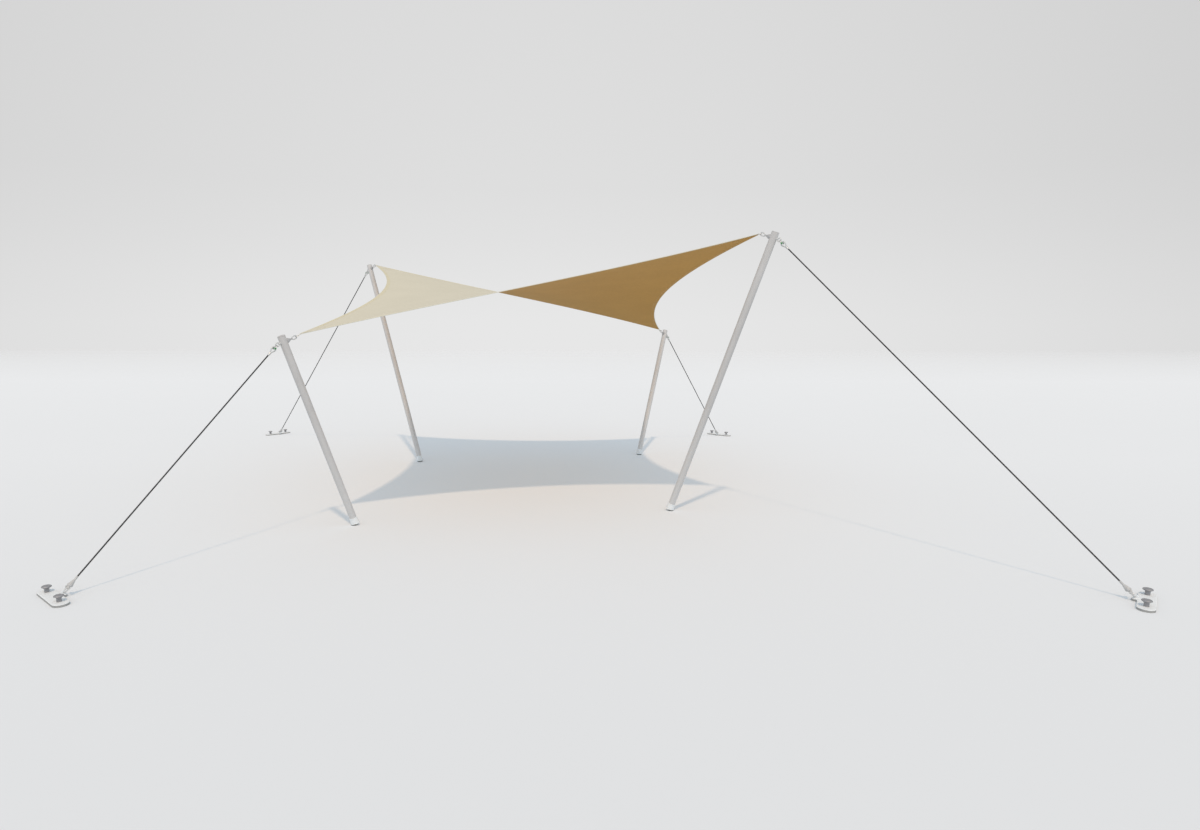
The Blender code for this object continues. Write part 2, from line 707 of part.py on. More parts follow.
def main():
    clear_scene()
    materials = {name: make_material(name) for name in MATERIALS}
    meshes = {}
    for kind, corner in CORNER_KINDS.items():
        for piece, make, _ in CORNER_PIECES:
            mesh = make(corner)
            mesh.materials.clear()
            meshes[kind, piece] = mesh
        meshes[kind, "peg"] = make_peg(corner)
    place("canopy", make_canopy(), None, Matrix.Identity(4), materials["canopy"])
    for place_name, kind, turn in CORNER_PLACES:
        corner = CORNER_KINDS[kind]
        hub = bpy.data.objects.new("corner_" + place_name, None)
        bpy.context.scene.collection.objects.link(hub)
        hub.rotation_euler.z = math.radians(turn)
        for piece, _, frame in CORNER_PIECES:
            matrix = frame(corner) if frame else Matrix.Identity(4)
            name = f"{piece}_{place_name}"
            place(name, meshes[kind, piece], hub, matrix, materials[piece])
        for label, side in (("a", -1), ("b", 1)):
            reach = corner.anchor_radius + PLATE_REACH
            matrix = Matrix.Translation((reach, side * PEG_SPREAD, 0))
            name = f"peg_{label}_{place_name}"
            place(name, meshes[kind, "peg"], hub, matrix, materials["peg"])
    bpy.context.view_layer.update()


main()
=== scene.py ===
import math

import bmesh
import bpy
import numpy as np
from mathutils import Matrix, Vector


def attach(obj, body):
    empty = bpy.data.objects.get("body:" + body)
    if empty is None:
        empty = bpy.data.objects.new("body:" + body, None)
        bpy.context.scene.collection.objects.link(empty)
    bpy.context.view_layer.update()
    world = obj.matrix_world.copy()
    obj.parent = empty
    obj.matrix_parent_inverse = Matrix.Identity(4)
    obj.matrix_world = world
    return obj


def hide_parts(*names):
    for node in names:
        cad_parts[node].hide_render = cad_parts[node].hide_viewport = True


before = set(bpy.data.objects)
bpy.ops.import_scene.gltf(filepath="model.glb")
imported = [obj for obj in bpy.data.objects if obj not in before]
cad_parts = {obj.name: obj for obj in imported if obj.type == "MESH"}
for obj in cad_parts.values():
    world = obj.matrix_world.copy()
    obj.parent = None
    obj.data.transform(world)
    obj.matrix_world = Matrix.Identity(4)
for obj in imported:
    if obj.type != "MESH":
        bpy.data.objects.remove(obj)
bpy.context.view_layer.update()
print("frame loaded with", len(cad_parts), "nodes")

# Where the two kinds of corner stand, in metres from the tent's middle
corners = {
    "low": {
        "footRadius": 2.717, "topRadius": 3.468, "topHeight": 2.041, "anchorRadius": 5.420,
        "clothRadius": 3.284, "clothHeight": 2.054, "clothTrim": 0.026, "pinSide": 1,
    },
    "high": {
        "footRadius": 2.271, "topRadius": 3.446, "topHeight": 3.083, "anchorRadius": 6.552,
        "clothRadius": 3.284, "clothHeight": 3.078, "clothTrim": 0.034, "pinSide": -1,
    },
}
cornerPlaces = [
    ("low_east", "low", 0), ("high_north", "high", 90),
    ("low_west", "low", 180), ("high_south", "high", 270),
]
touchGap = 0.0003


class Wire:
    # A node socket that can be written into sums

    def __init__(self, tree, socket=None):
        self.tree = tree
        self.socket = socket

    def node(self, kind, settings=None, inputs=None, output=0):
        made = self.tree.nodes.new(kind)
        for name, value in (settings or {}).items():
            if name == "stops":
                ramp = made.color_ramp
                for place, shade in value[2:]:
                    ramp.elements.new(place)
                for stop, (place, shade) in zip(ramp.elements, value):
                    stop.position = place
                    stop.color = shade
            else:
                setattr(made, name, value)
        for name, value in (inputs or {}).items():
            if isinstance(value, Wire):
                self.tree.links.new(value.socket, made.inputs[name])
            else:
                made.inputs[name].default_value = value
        return Wire(self.tree, made.outputs[output])

    def other(self, output):
        return Wire(self.tree, self.socket.node.outputs[output])

    def sum(self, operation, first, second):
        return self.node("ShaderNodeMath", {"operation": operation}, {0: first, 1: second})

    def __add__(self, value):
        return self.sum("ADD", self, value)

    def __radd__(self, value):
        return self.sum("ADD", value, self)

    def __sub__(self, value):
        return self.sum("SUBTRACT", self, value)

    def __rsub__(self, value):
        return self.sum("SUBTRACT", value, self)

    def __mul__(self, value):
        return self.sum("MULTIPLY", self, value)

    def __rmul__(self, value):
        return self.sum("MULTIPLY", value, self)

    def __truediv__(self, value):
        return self.sum("DIVIDE", self, value)

    def __pow__(self, value):
        return self.sum("POWER", self, value)

    def sine(self):
        return self.sum("SINE", self, 0.0)

    def cosine(self):
        return self.sum("COSINE", self, 0.0)

    def absolute(self):
        return self.sum("ABSOLUTE", self, 0.0)


# Shader pieces that several finishes share


def newFinish(name, plain):
    material = bpy.data.materials.new(name)
    material.use_nodes = True
    shader = material.node_tree.nodes["Principled BSDF"]
    for socket, value in plain.items():
        shader.inputs[socket].default_value = value
    return material, Wire(material.node_tree), shader


def plug(wire, shader, socket):
    wire.tree.links.new(wire.socket, shader.inputs[socket])


def finished(material, shader, colour, roughness, normal):
    plug(colour, shader, "Base Color")
    plug(roughness, shader, "Roughness")
    plug(normal, shader, "Normal")
    return material


def stretched(wire, place, stretch):
    return wire.node("ShaderNodeMapping", {}, {"Vector": place, "Scale": stretch})


def localPlace(wire, stretch=(1, 1, 1)):
    place = wire.node("ShaderNodeAttribute", {"attribute_name": "localPlace"}, output="Vector")
    return stretched(wire, place, stretch)


def noise(wire, place, scale, detail=3.0, roughness=0.55):
    values = {"Vector": place, "Scale": scale, "Detail": detail, "Roughness": roughness}
    return wire.node("ShaderNodeTexNoise", {}, values, "Fac")


def spread(wire, value, low, high, start=0.0, end=1.0):
    values = {"Value": value, "From Min": low, "From Max": high, "To Min": start, "To Max": end}
    return wire.node("ShaderNodeMapRange", {}, values)


def blendColours(wire, factor, first, second):
    settings = {"data_type": "RGBA", "clamp_factor": True}
    colours = [value if isinstance(value, Wire) else (*value, 1.0) for value in (first, second)]
    return wire.node("ShaderNodeMix", settings, {0: factor, 6: colours[0], 7: colours[1]}, 2)


def bump(wire, height, strength, distance):
    values = {"Height": height, "Strength": strength, "Distance": distance}
    return wire.node("ShaderNodeBump", {}, values)


clothLook = {
    "threadPitch": 0.0016, "weaveBump": 0.30, "weaveDepth": 0.00025, "roughness": 0.83,
    "sheen": 0.06, "sheenRoughness": 0.5, "specular": 0.1, "cloud": 1.7,
    "warpSlubs": (420, 16, 1), "weftSlubs": (16, 420, 1), "mottle": (34, 20, 1),
}


def clothFinish(name, look):
    # Plain weave over slubs and soft clouding, laid out on the cloth's own UV map in metres
    cloth = clothLook
    material, wire, shader = newFinish(name, {
        "Sheen Weight": cloth["sheen"], "Sheen Roughness": cloth["sheenRoughness"],
        "Specular IOR Level": cloth["specular"],
    })
    flat = wire.node("ShaderNodeUVMap", {"uv_map": "cloth"})
    across = wire.node("ShaderNodeSeparateXYZ", {}, {0: flat})
    warp = across * (math.tau / cloth["threadPitch"])
    weft = across.other(1) * (math.tau / cloth["threadPitch"])
    weave = warp.sine() * weft.sine() * 0.5 + 0.5
    warpSlub = noise(wire, stretched(wire, flat, cloth["warpSlubs"]), 1.0, 2.0)
    weftSlub = noise(wire, stretched(wire, flat, cloth["weftSlubs"]), 1.0, 2.0)
    slubs = (warpSlub + weftSlub) * 0.5
    mottle = noise(wire, stretched(wire, flat, cloth["mottle"]), 1.0, 4.0, 0.65)
    cloud = noise(wire, flat, cloth["cloud"], 3.0)
    tone = spread(wire, slubs * 0.35 + mottle * 0.40 + cloud * 0.25, 0.34, 0.66)
    height = weave * 0.6 + slubs * 0.9
    return finished(
        material, shader, blendColours(wire, tone, look["dark"], look["light"]),
        slubs * 0.14 + cloth["roughness"],
        bump(wire, height, cloth["weaveBump"], cloth["weaveDepth"]),
    )


webbingLook = {
    "ribPitch": 0.0022, "pickPitch": 0.0017, "dust": 60.0, "roughness": 0.75, "bump": 0.5,
    "depth": 0.0004, "sheen": 0.2, "specular": 0.25,
}


def webbingFinish(name, look):
    # Narrow ribs along the strap, crossed by fine picks
    woven = webbingLook
    material, wire, shader = newFinish(name, {
        "Sheen Weight": woven["sheen"], "Specular IOR Level": woven["specular"],
    })
    place = wire.node("ShaderNodeSeparateXYZ", {}, {0: localPlace(wire)})
    ribs = (place.other(1) * (math.tau / woven["ribPitch"])).sine() * 0.5 + 0.5
    picks = (place.other(2) * (math.tau / woven["pickPitch"])).sine() * 0.5 + 0.5
    weave = ribs * 0.6 + picks * 0.4
    dust = noise(wire, localPlace(wire), woven["dust"], 4.0, 0.6)
    tone = weave * 0.3 + spread(wire, dust, 0.3, 0.7) * 0.7
    return finished(
        material, shader, blendColours(wire, tone, look["dark"], look["light"]),
        dust * 0.2 + woven["roughness"], bump(wire, weave, woven["bump"], woven["depth"]),
    )


threadLook = {"fibre": 900.0, "roughness": 0.6, "bump": 0.4, "depth": 0.0002, "sheen": 0.3}


def threadFinish(name, look):
    thread = threadLook
    material, wire, shader = newFinish(name, {"Sheen Weight": thread["sheen"]})
    fibre = noise(wire, wire.node("ShaderNodeTexCoord", output="Object"), thread["fibre"], 2.0)
    return finished(
        material, shader, blendColours(wire, fibre, look["dark"], look["light"]),
        fibre * 0.2 + thread["roughness"], bump(wire, fibre, thread["bump"], thread["depth"]),
    )


metalLook = {"spangleEdge": 0.6, "scratches": (900, 900, 60)}


def metalFinish(name, look):
    # Zinc-coated or forged steel: soft spangle, handling marks and grimy patches
    material, wire, shader = newFinish(name, {"Metallic": look["metallic"]})
    place = localPlace(wire)
    spangle = wire.node("ShaderNodeTexVoronoi", {"feature": "SMOOTH_F1"}, {
        "Vector": place, "Scale": look["spangle"], "Smoothness": metalLook["spangleEdge"],
    }, "Distance")
    grime = noise(wire, place, look["grime"], 5.0, 0.65)
    scratches = noise(wire, localPlace(wire, metalLook["scratches"]), 1.0, 2.0)
    tone = spread(wire, spangle * 0.35 + grime * 0.65, 0.30, 0.66)
    height = spangle * 0.2 + grime * 0.5 + scratches * 0.15
    return finished(
        material, shader, blendColours(wire, tone, look["dark"], look["light"]),
        look["roughness"] + (grime - 0.5) * 0.25 + (scratches - 0.5) * 0.12,
        bump(wire, height, look["bump"], look["depth"]),
    )


tubeLook = {
    "specular": 0.3, "drawnLines": (260, 260, 1.5), "fineLines": (1400, 1400, 6),
    "marks": (9, 9, 3), "dust": 0.8, "dustFull": 0.1,
}


def tubeFinish(name, look):
    # Drawn tube: long faint lines up its length, cloudy handling marks and dust near its foot
    material, wire, shader = newFinish(name, {
        "Metallic": look["metallic"], "Specular IOR Level": tubeLook["specular"],
    })
    drawn = noise(wire, localPlace(wire, tubeLook["drawnLines"]), 1.0, 3.0, 0.6)
    fine = noise(wire, localPlace(wire, tubeLook["fineLines"]), 1.0, 2.0)
    marks = noise(wire, localPlace(wire, tubeLook["marks"]), 1.0, 4.0, 0.6)
    tone = spread(wire, drawn * 0.35 + marks * 0.65, 0.34, 0.66)
    height = wire.node("ShaderNodeSeparateXYZ", {}, {0: localPlace(wire)}).other(2)
    dust = spread(wire, height + marks * 0.3, look["dustTop"], tubeLook["dustFull"])
    clean = blendColours(wire, tone, look["dark"], look["light"])
    return finished(
        material, shader, blendColours(wire, dust * tubeLook["dust"], clean, look["dusty"]),
        look["roughness"] + (marks - 0.5) * 0.2 + (fine - 0.5) * 0.1,
        bump(wire, drawn * 0.6 + fine * 0.4, look["bump"], look["depth"]),
    )


paintLook = {
    "coatRoughness": 0.3, "peel": 320.0, "scuffs": 38.0, "depth": 0.0004,
    "soil": (0.42, 0.38, 0.32),
}


def paintFinish(name, look):
    # Thick paint or moulded skin: orange peel, scuffs, and dust gathered near the ground
    material, wire, shader = newFinish(name, {"Coat Roughness": paintLook["coatRoughness"]})
    place = localPlace(wire)
    standing = wire.node("ShaderNodeTexCoord", output="Object")
    height = wire.node("ShaderNodeSeparateXYZ", {}, {0: standing}).other(2)
    peel = noise(wire, place, paintLook["peel"], 2.0)
    scuff = noise(wire, place, paintLook["scuffs"], 6.0, 0.7)
    dust = spread(wire, height, look["dustTop"], 0.0) * spread(wire, scuff, 0.35, 0.7)
    clean = blendColours(wire, spread(wire, scuff, 0.3, 0.7), look["dark"], look["light"])
    return finished(
        material, shader, blendColours(wire, dust * look["dust"], clean, paintLook["soil"]),
        look["roughness"] + (scuff - 0.5) * 0.25 + dust * 0.1,
        bump(wire, peel * 0.4 + scuff * 0.6, look["bump"], paintLook["depth"]),
    )


ropeLook = {
    "fibres": (1200, 1200, 220), "wear": (40, 40, 9), "roughness": 0.42, "bump": 0.35,
    "depth": 0.0003, "specular": 0.4,
}


def ropeFinish(name, look):
    # Sheathed strands with a dull shine on their crowns
    material, wire, shader = newFinish(name, {"Specular IOR Level": ropeLook["specular"]})
    fine = noise(wire, localPlace(wire, ropeLook["fibres"]), 1.0, 3.0)
    worn = noise(wire, localPlace(wire, ropeLook["wear"]), 1.0, 4.0, 0.6)
    tone = fine * 0.4 + spread(wire, worn, 0.35, 0.7) * 0.6
    return finished(
        material, shader, blendColours(wire, tone, look["dark"], look["light"]),
        worn * 0.3 + ropeLook["roughness"], bump(wire, fine, ropeLook["bump"], ropeLook["depth"]),
    )


finishTable = [
    (clothFinish, {
        "clothTop": {"light": (0.649, 0.612, 0.494), "dark": (0.568, 0.534, 0.426)},
        # The underside is the top's cloth painted darker and warmer tan: painted shade, with
        # painted sunlight glowing through it
        "clothUnder": {"light": (0.495, 0.280, 0.070), "dark": (0.391, 0.220, 0.051)},
        "hemTop": {"light": (0.649, 0.602, 0.442), "dark": (0.566, 0.520, 0.377)},
        "hemCord": {"light": (0.69, 0.67, 0.57), "dark": (0.60, 0.58, 0.49)},
    }),
    (webbingFinish, {"webbing": {"light": (0.86, 0.85, 0.80), "dark": (0.72, 0.70, 0.64)}}),
    (threadFinish, {"thread": {"light": (0.78, 0.72, 0.58), "dark": (0.60, 0.54, 0.42)}}),
    (ropeFinish, {
        "ropeSheath": {"light": (0.045, 0.045, 0.045), "dark": (0.018, 0.018, 0.018)},
    }),
    (tubeFinish, {"poleTube": {
        "light": (0.558, 0.549, 0.542), "dark": (0.490, 0.483, 0.477), "metallic": 0.04,
        "dusty": (0.67, 0.665, 0.66), "dustTop": 1.5, "roughness": 0.60, "bump": 0.25,
        "depth": 0.0003,
    }}),
    (paintFinish, {
        "capPlastic": {
            "light": (0.50, 0.49, 0.485), "dark": (0.43, 0.42, 0.415), "dust": 0.0,
            "dustTop": 0.1, "roughness": 0.55, "bump": 0.3,
        },
        "whiteShell": {
            "light": (0.80, 0.83, 0.845), "dark": (0.73, 0.76, 0.775), "dust": 0.1,
            "dustTop": 0.05, "roughness": 0.45, "bump": 0.25,
        },
        # The dark ring's colour, also used for painted contact shade low on the feet
        "darkRim": {
            "light": (0.17, 0.175, 0.17), "dark": (0.12, 0.125, 0.12), "dust": 0.2,
            "dustTop": 0.02, "roughness": 0.6, "bump": 0.4,
        },
        "plateRim": {
            "light": (0.35, 0.355, 0.35), "dark": (0.27, 0.275, 0.27), "dust": 0.2,
            "dustTop": 0.01, "roughness": 0.6, "bump": 0.4,
        },
        "greenPaint": {
            "light": (0.06, 0.30, 0.10), "dark": (0.035, 0.20, 0.07), "dust": 0.0,
            "dustTop": 0.1, "roughness": 0.42, "bump": 0.3,
        },
    }),
    (metalFinish, {
        "zinc": {
            "light": (0.66, 0.66, 0.65), "dark": (0.50, 0.50, 0.49), "metallic": 0.65,
            "roughness": 0.40, "spangle": 160.0, "grime": 90.0, "bump": 0.3, "depth": 0.0004,
        },
        "castZinc": {
            "light": (0.55, 0.55, 0.545), "dark": (0.43, 0.43, 0.425), "metallic": 0.15,
            "roughness": 0.68, "spangle": 120.0, "grime": 70.0, "bump": 0.4, "depth": 0.0005,
        },
        "darkSteel": {
            "light": (0.50, 0.50, 0.50), "dark": (0.38, 0.38, 0.38), "metallic": 0.25,
            "roughness": 0.50, "spangle": 200.0, "grime": 110.0, "bump": 0.35, "depth": 0.0004,
        },
        "forgedSteel": {
            "light": (0.36, 0.36, 0.37), "dark": (0.25, 0.25, 0.26), "metallic": 0.45,
            "roughness": 0.52, "spangle": 90.0, "grime": 55.0, "bump": 0.6, "depth": 0.0010,
        },
    }),
]
finishes = {
    name: make(name, look) for make, looks in finishTable for name, look in looks.items()
}
print("finishes made:", len(finishes))


# Mesh helpers. Lengths are metres.

mergeDistance = 0.000001
cutTolerance = 0.00001


def addObject(name, data):
    made = bpy.data.objects.new(name, data)
    bpy.context.scene.collection.objects.link(made)
    return made


def closeMesh(bm, mesh):
    # Writes out a bmesh with its faces turned outward
    bmesh.ops.recalc_face_normals(bm, faces=bm.faces)
    bm.to_mesh(mesh)
    bm.free()
    return mesh


def meshFrom(points, faces, finish):
    bm = bmesh.new()
    verts = [bm.verts.new(point) for point in points]
    for face in faces:
        bm.faces.new([verts[index] for index in face])
    bmesh.ops.remove_doubles(bm, verts=bm.verts, dist=mergeDistance)
    mesh = closeMesh(bm, bpy.data.meshes.new("part"))
    mesh.materials.append(finishes[finish])
    return mesh


def softened(points, size, steps=3, closed=False):
    # The same outline with each corner rounded over the given size
    count = len(points)
    places = [Vector(point) for point in points]
    result = []
    for index, here in enumerate(places):
        if not closed and index in (0, count - 1):
            result.append(tuple(here))
            continue
        before = places[index - 1] - here
        after = places[(index + 1) % count] - here
        reach = min(size, before.length * 0.45, after.length * 0.45)
        start = here + before.normalized() * reach
        end = here + after.normalized() * reach
        for step in range(steps + 1):
            share = step / steps
            first, second = start.lerp(here, share), here.lerp(end, share)
            result.append(tuple(first.lerp(second, share)))
    return result


def ringPoints(sides, acrossX, acrossY, height):
    turns = [math.tau * step / sides for step in range(sides)]
    return [(acrossX * math.cos(a), acrossY * math.sin(a), height) for a in turns]


def turnedPart(profile, sides, finish, closed=False):
    # A profile of (radius, height) points turned round Z
    points, rings, faces = [], [], []
    for radius, height in profile:
        if radius < mergeDistance:
            rings.append([len(points)] * sides)
            points.append((0, 0, height))
            continue
        rings.append([len(points) + step for step in range(sides)])
        points += ringPoints(sides, radius, radius, height)
    pairs = list(zip(rings, rings[1:])) + ([(rings[-1], rings[0])] if closed else [])
    for lower, upper in pairs:
        for step in range(sides):
            after = (step + 1) % sides
            face = [lower[step], lower[after], upper[after], upper[step]]
            face = [place for k, place in enumerate(face) if place != face[k - 1]]
            if len(face) > 2:
                faces.append(face)
    return meshFrom(points, faces, finish)


def rodPart(radius, start, end, sides, finish):
    return turnedPart([(0, start), (radius, start), (radius, end), (0, end)], sides, finish)


def loftedPart(rings, finish):
    # Rings with equal numbers of points, skinned from one to the next and closed at both ends
    count = len(rings[0])
    points = [point for ring in rings for point in ring]
    faces = []
    for first in range(0, len(points) - count, count):
        for step in range(count):
            after = (step + 1) % count
            faces.append((
                first + step, first + after, first + count + after, first + count + step,
            ))
    faces.append(tuple(range(count))[::-1])
    faces.append(tuple(range(len(points) - count, len(points))))
    return meshFrom(points, faces, finish)


def hexPart(acrossFlats, start, end, finish, chamfer=0.0008):
    radius = acrossFlats / math.sqrt(3)
    levels = ((start, chamfer), (start + chamfer, 0), (end - chamfer, 0), (end, chamfer))
    return loftedPart(
        [ringPoints(6, radius - cut, radius - cut, height) for height, cut in levels], finish)


def alongX(mesh):
    mesh.transform(Matrix.Rotation(math.radians(90), 4, "Y"))
    return mesh


def alongY(mesh, side=1):
    mesh.transform(Matrix.Rotation(math.radians(-90 * side), 4, "X"))
    return mesh


def moved(mesh, x=0.0, y=0.0, z=0.0):
    mesh.transform(Matrix.Translation((x, y, z)))
    return mesh


def carved(mesh, tool, operation="DIFFERENCE"):
    target, cutter = addObject("target", mesh), addObject("cutter", tool)
    modifier = target.modifiers.new("carve", "BOOLEAN")
    modifier.object = cutter
    modifier.operation = operation
    modifier.solver = "EXACT"
    graph = bpy.context.evaluated_depsgraph_get()
    result = bpy.data.meshes.new_from_object(target.evaluated_get(graph))
    for item in (target, cutter):
        bpy.data.objects.remove(item)
    return result


def planeCut(bm, place, normal, clear):
    # Cuts along a plane. With clear, what lies on the normal's side goes and the cut is closed.
    cut = bmesh.ops.bisect_plane(
        bm, geom=bm.verts[:] + bm.edges[:] + bm.faces[:], dist=cutTolerance, plane_co=place,
        plane_no=normal, clear_outer=clear,
    )
    if clear:
        rim = [item for item in cut["geom_cut"] if isinstance(item, bmesh.types.BMEdge)]
        bmesh.ops.edgenet_fill(bm, edges=rim)


def arcPoints(centre, radius, start, end, steps):
    turns = [math.radians(start + (end - start) * step / steps) for step in range(steps + 1)]
    return [(centre[0] + radius * math.cos(a), centre[1] + radius * math.sin(a)) for a in turns]


def joined(parts):
    # Several parts as one mesh that keeps each part's finish
    bm = bmesh.new()
    slots = []
    for part in parts:
        first = len(bm.faces)
        names = [material.name for material in part.materials]
        bm.from_mesh(part)
        bm.faces.ensure_lookup_table()
        for face in bm.faces[first:]:
            name = names[min(face.material_index, len(names) - 1)]
            if name not in slots:
                slots.append(name)
            face.material_index = slots.index(name)
    mesh = bpy.data.meshes.new("joined")
    bm.to_mesh(mesh)
    bm.free()
    for name in slots:
        mesh.materials.append(finishes[name])
    return mesh


def markPlace(mesh):
    # The finishes read where a point is on its own part, whatever way the part stands
    attribute = mesh.attributes.new("localPlace", "FLOAT_VECTOR", "POINT")
    places = np.zeros(len(mesh.vertices) * 3, np.float32)
    mesh.vertices.foreach_get("co", places)
    attribute.data.foreach_set("vector", places)


def smoothed(mesh, angle=32):
    mesh.shade_smooth()
    mesh.set_sharp_from_angle(angle=math.radians(angle))
    return mesh


def spun(turn):
    # A turn round the tent's upright axis, in degrees
    return Matrix.Rotation(math.radians(turn), 4, "Z")


def spunRows(turn):
    # The same turn, for rows of points
    return np.array(spun(turn).to_3x3()).T


def pieceName(node):
    # What a node's piece is called here, such as stayRopeLowEast
    first, *rest = node.split("_")
    return first + "".join(word.title() for word in rest)


def settle(name, mesh, nodes):
    mesh.name = name
    piece = addObject(name, mesh)
    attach(piece, "root")
    if nodes:
        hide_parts(*nodes)
    return piece


# Node trees that grow bars, ropes and stitches


def openTree(name, sockets):
    tree = bpy.data.node_groups.new(name, "GeometryNodeTree")
    kinds = {
        "geometry": "NodeSocketGeometry", "length": "NodeSocketFloat", "count": "NodeSocketInt",
        "finish": "NodeSocketMaterial",
    }
    for label, kind in sockets:
        tree.interface.new_socket(label, in_out="INPUT", socket_type=kinds[kind])
    tree.interface.new_socket("Result", in_out="OUTPUT", socket_type=kinds["geometry"])
    return tree, Wire(tree).node("NodeGroupInput")


def closeTree(start, geometry):
    real = start.node("GeometryNodeRealizeInstances", {}, {"Geometry": geometry})
    painted = start.node("GeometryNodeSetMaterial", {}, {
        "Geometry": real, "Material": start.other("Finish")})
    end = start.tree.nodes.new("NodeGroupOutput")
    start.tree.links.new(painted.socket, end.inputs["Result"])
    return start.tree


def makeBarTree():
    tree, start = openTree("bentBar", [
        ("Path", "geometry"), ("Bar Radius", "length"), ("Bar Sides", "count"),
        ("Finish", "finish"),
    ])
    line = start.node("GeometryNodeMeshToCurve", {}, {"Mesh": start.other("Path")})
    section = start.node("GeometryNodeCurvePrimitiveCircle", {"mode": "RADIUS"}, {
        "Resolution": start.other("Bar Sides"), "Radius": start.other("Bar Radius")})
    bar = start.node("GeometryNodeCurveToMesh", {}, {
        "Curve": line, "Profile Curve": section, "Fill Caps": True})
    return closeTree(start, bar)


def makeRopeTree():
    # A round section with one lobe for each strand, twisted along a straight line
    tree, start = openTree("laidRope", [
        ("Rope Length", "length"), ("Rope Radius", "length"), ("Lay Length", "length"),
        ("Strand Depth", "length"), ("Strands", "count"), ("Section Points", "count"),
        ("Rings", "count"), ("Finish", "finish"),
    ])
    end = start.node("ShaderNodeCombineXYZ", {}, {"Z": start.other("Rope Length")})
    line = start.node("GeometryNodeCurvePrimitiveLine", {}, {"End": end})
    line = start.node("GeometryNodeResampleCurve", {}, {
        "Curve": line, "Count": start.other("Rings")})
    along = start.node("GeometryNodeSplineParameter", output="Length")
    turned = start.node("GeometryNodeSetCurveTilt", {}, {
        "Curve": line, "Tilt": along * math.tau / start.other("Lay Length")})
    circle = start.node("GeometryNodeCurvePrimitiveCircle", {"mode": "RADIUS"}, {
        "Resolution": start.other("Section Points"), "Radius": start.other("Rope Radius")})
    place = start.node("GeometryNodeInputPosition")
    split = start.node("ShaderNodeSeparateXYZ", {}, {0: place})
    turn = start.sum("ARCTAN2", split.other(1), split) * start.other("Strands") * 0.5
    crown = turn.cosine().absolute()
    shrink = 1.0 - (1.0 - crown) * start.other("Strand Depth")
    lobed = start.node("ShaderNodeVectorMath", {"operation": "SCALE"}, {0: place, 3: shrink})
    section = start.node("GeometryNodeSetPosition", {}, {"Geometry": circle, "Position": lobed})
    rope = start.node("GeometryNodeCurveToMesh", {}, {
        "Curve": turned, "Profile Curve": section, "Fill Caps": True})
    return closeTree(start, rope)


def makeStitchTree():
    # One short thread on every point, lying along the seam
    tree, start = openTree("stitching", [
        ("Places", "geometry"), ("Stitch Length", "length"), ("Stitch Width", "length"),
        ("Stitch Height", "length"), ("Finish", "finish"),
    ])
    bead = start.node("GeometryNodeMeshIcoSphere", {}, {"Radius": 0.5, "Subdivisions": 1})
    size = start.node("ShaderNodeCombineXYZ", {}, {
        "X": start.other("Stitch Length"), "Y": start.other("Stitch Width"),
        "Z": start.other("Stitch Height")})
    bead = start.node("GeometryNodeTransform", {}, {"Geometry": bead, "Scale": size})
    vectors = [
        start.node("GeometryNodeInputNamedAttribute", {"data_type": "FLOAT_VECTOR"}, {"Name": name})
        for name in ("along", "upward")
    ]
    aim = start.node("FunctionNodeAlignRotationToVector", {"axis": "X"}, {"Vector": vectors[0]})
    aim = start.node("FunctionNodeAlignRotationToVector", {"axis": "Z", "pivot_axis": "X"}, {
        "Rotation": aim, "Vector": vectors[1]})
    rows = start.node("GeometryNodeInstanceOnPoints", {}, {
        "Points": start.other("Places"), "Instance": bead, "Rotation": aim})
    return closeTree(start, rows)


barTree = makeBarTree()
ropeTree = makeRopeTree()
stitchTree = makeStitchTree()


def grown(tree, source, values):
    # Runs a tree on a mesh and gives back the plain mesh that comes out
    helper = addObject("helper", source)
    modifier = helper.modifiers.new("grow", "NODES")
    modifier.node_group = tree
    for item in tree.interface.items_tree:
        if item.in_out == "INPUT" and item.name in values:
            modifier[item.identifier] = values[item.name]
    graph = bpy.context.evaluated_depsgraph_get()
    mesh = bpy.data.meshes.new_from_object(helper.evaluated_get(graph))
    bpy.data.objects.remove(helper)
    return mesh


def barPart(path, radius, finish, closed=False, sides=20):
    source = bpy.data.meshes.new("path")
    links = [(k, k + 1) for k in range(len(path) - 1)]
    if closed:
        links.append((len(path) - 1, 0))
    source.from_pydata([tuple(point) for point in path], links, [])
    bar = grown(barTree, source, {
        "Bar Radius": radius, "Bar Sides": sides, "Finish": finishes[finish]})
    bm = bmesh.new()
    bm.from_mesh(bar)
    return closeMesh(bm, bar)


# Frames of one corner: X outward, Y along the plan circle, Z up


def poleLean(corner):
    return math.atan2(corner["topRadius"] - corner["footRadius"], corner["topHeight"])


def poleLength(corner):
    return math.hypot(corner["topRadius"] - corner["footRadius"], corner["topHeight"])


def poleFrame(corner):
    place = Matrix.Translation((corner["footRadius"], 0, 0))
    return place @ Matrix.Rotation(poleLean(corner), 4, "Y")


head = {
    "boltDrop": 0.064, "eyeOffset": 0.069, "lugHeight": 0.034, "linkOffset": 0.122,
    "linkHalfLength": 0.0255, "linkRod": 0.0055, "ringRod": 0.004,
}


def boltHeight(corner):
    return poleLength(corner) - head["boltDrop"]


def stayEnds(corner):
    top = poleFrame(corner) @ Vector((head["eyeOffset"], 0, boltHeight(corner)))
    return top, Vector((corner["anchorRadius"], 0, head["lugHeight"]))


def stayLength(corner):
    top, bottom = stayEnds(corner)
    return (bottom - top).length


def stayFall(corner):
    top, bottom = stayEnds(corner)
    return math.atan2(top.z - bottom.z, bottom.x - top.x)


def stayFrame(corner):
    turn = math.radians(90) + stayFall(corner)
    return Matrix.Translation(stayEnds(corner)[0]) @ Matrix.Rotation(turn, 4, "Y")


def groundFrame(corner):
    turn = stayFall(corner) - math.radians(90)
    return Matrix.Translation(stayEnds(corner)[1]) @ Matrix.Rotation(turn, 4, "Y")


# Membrane: a net in balance under its own pull

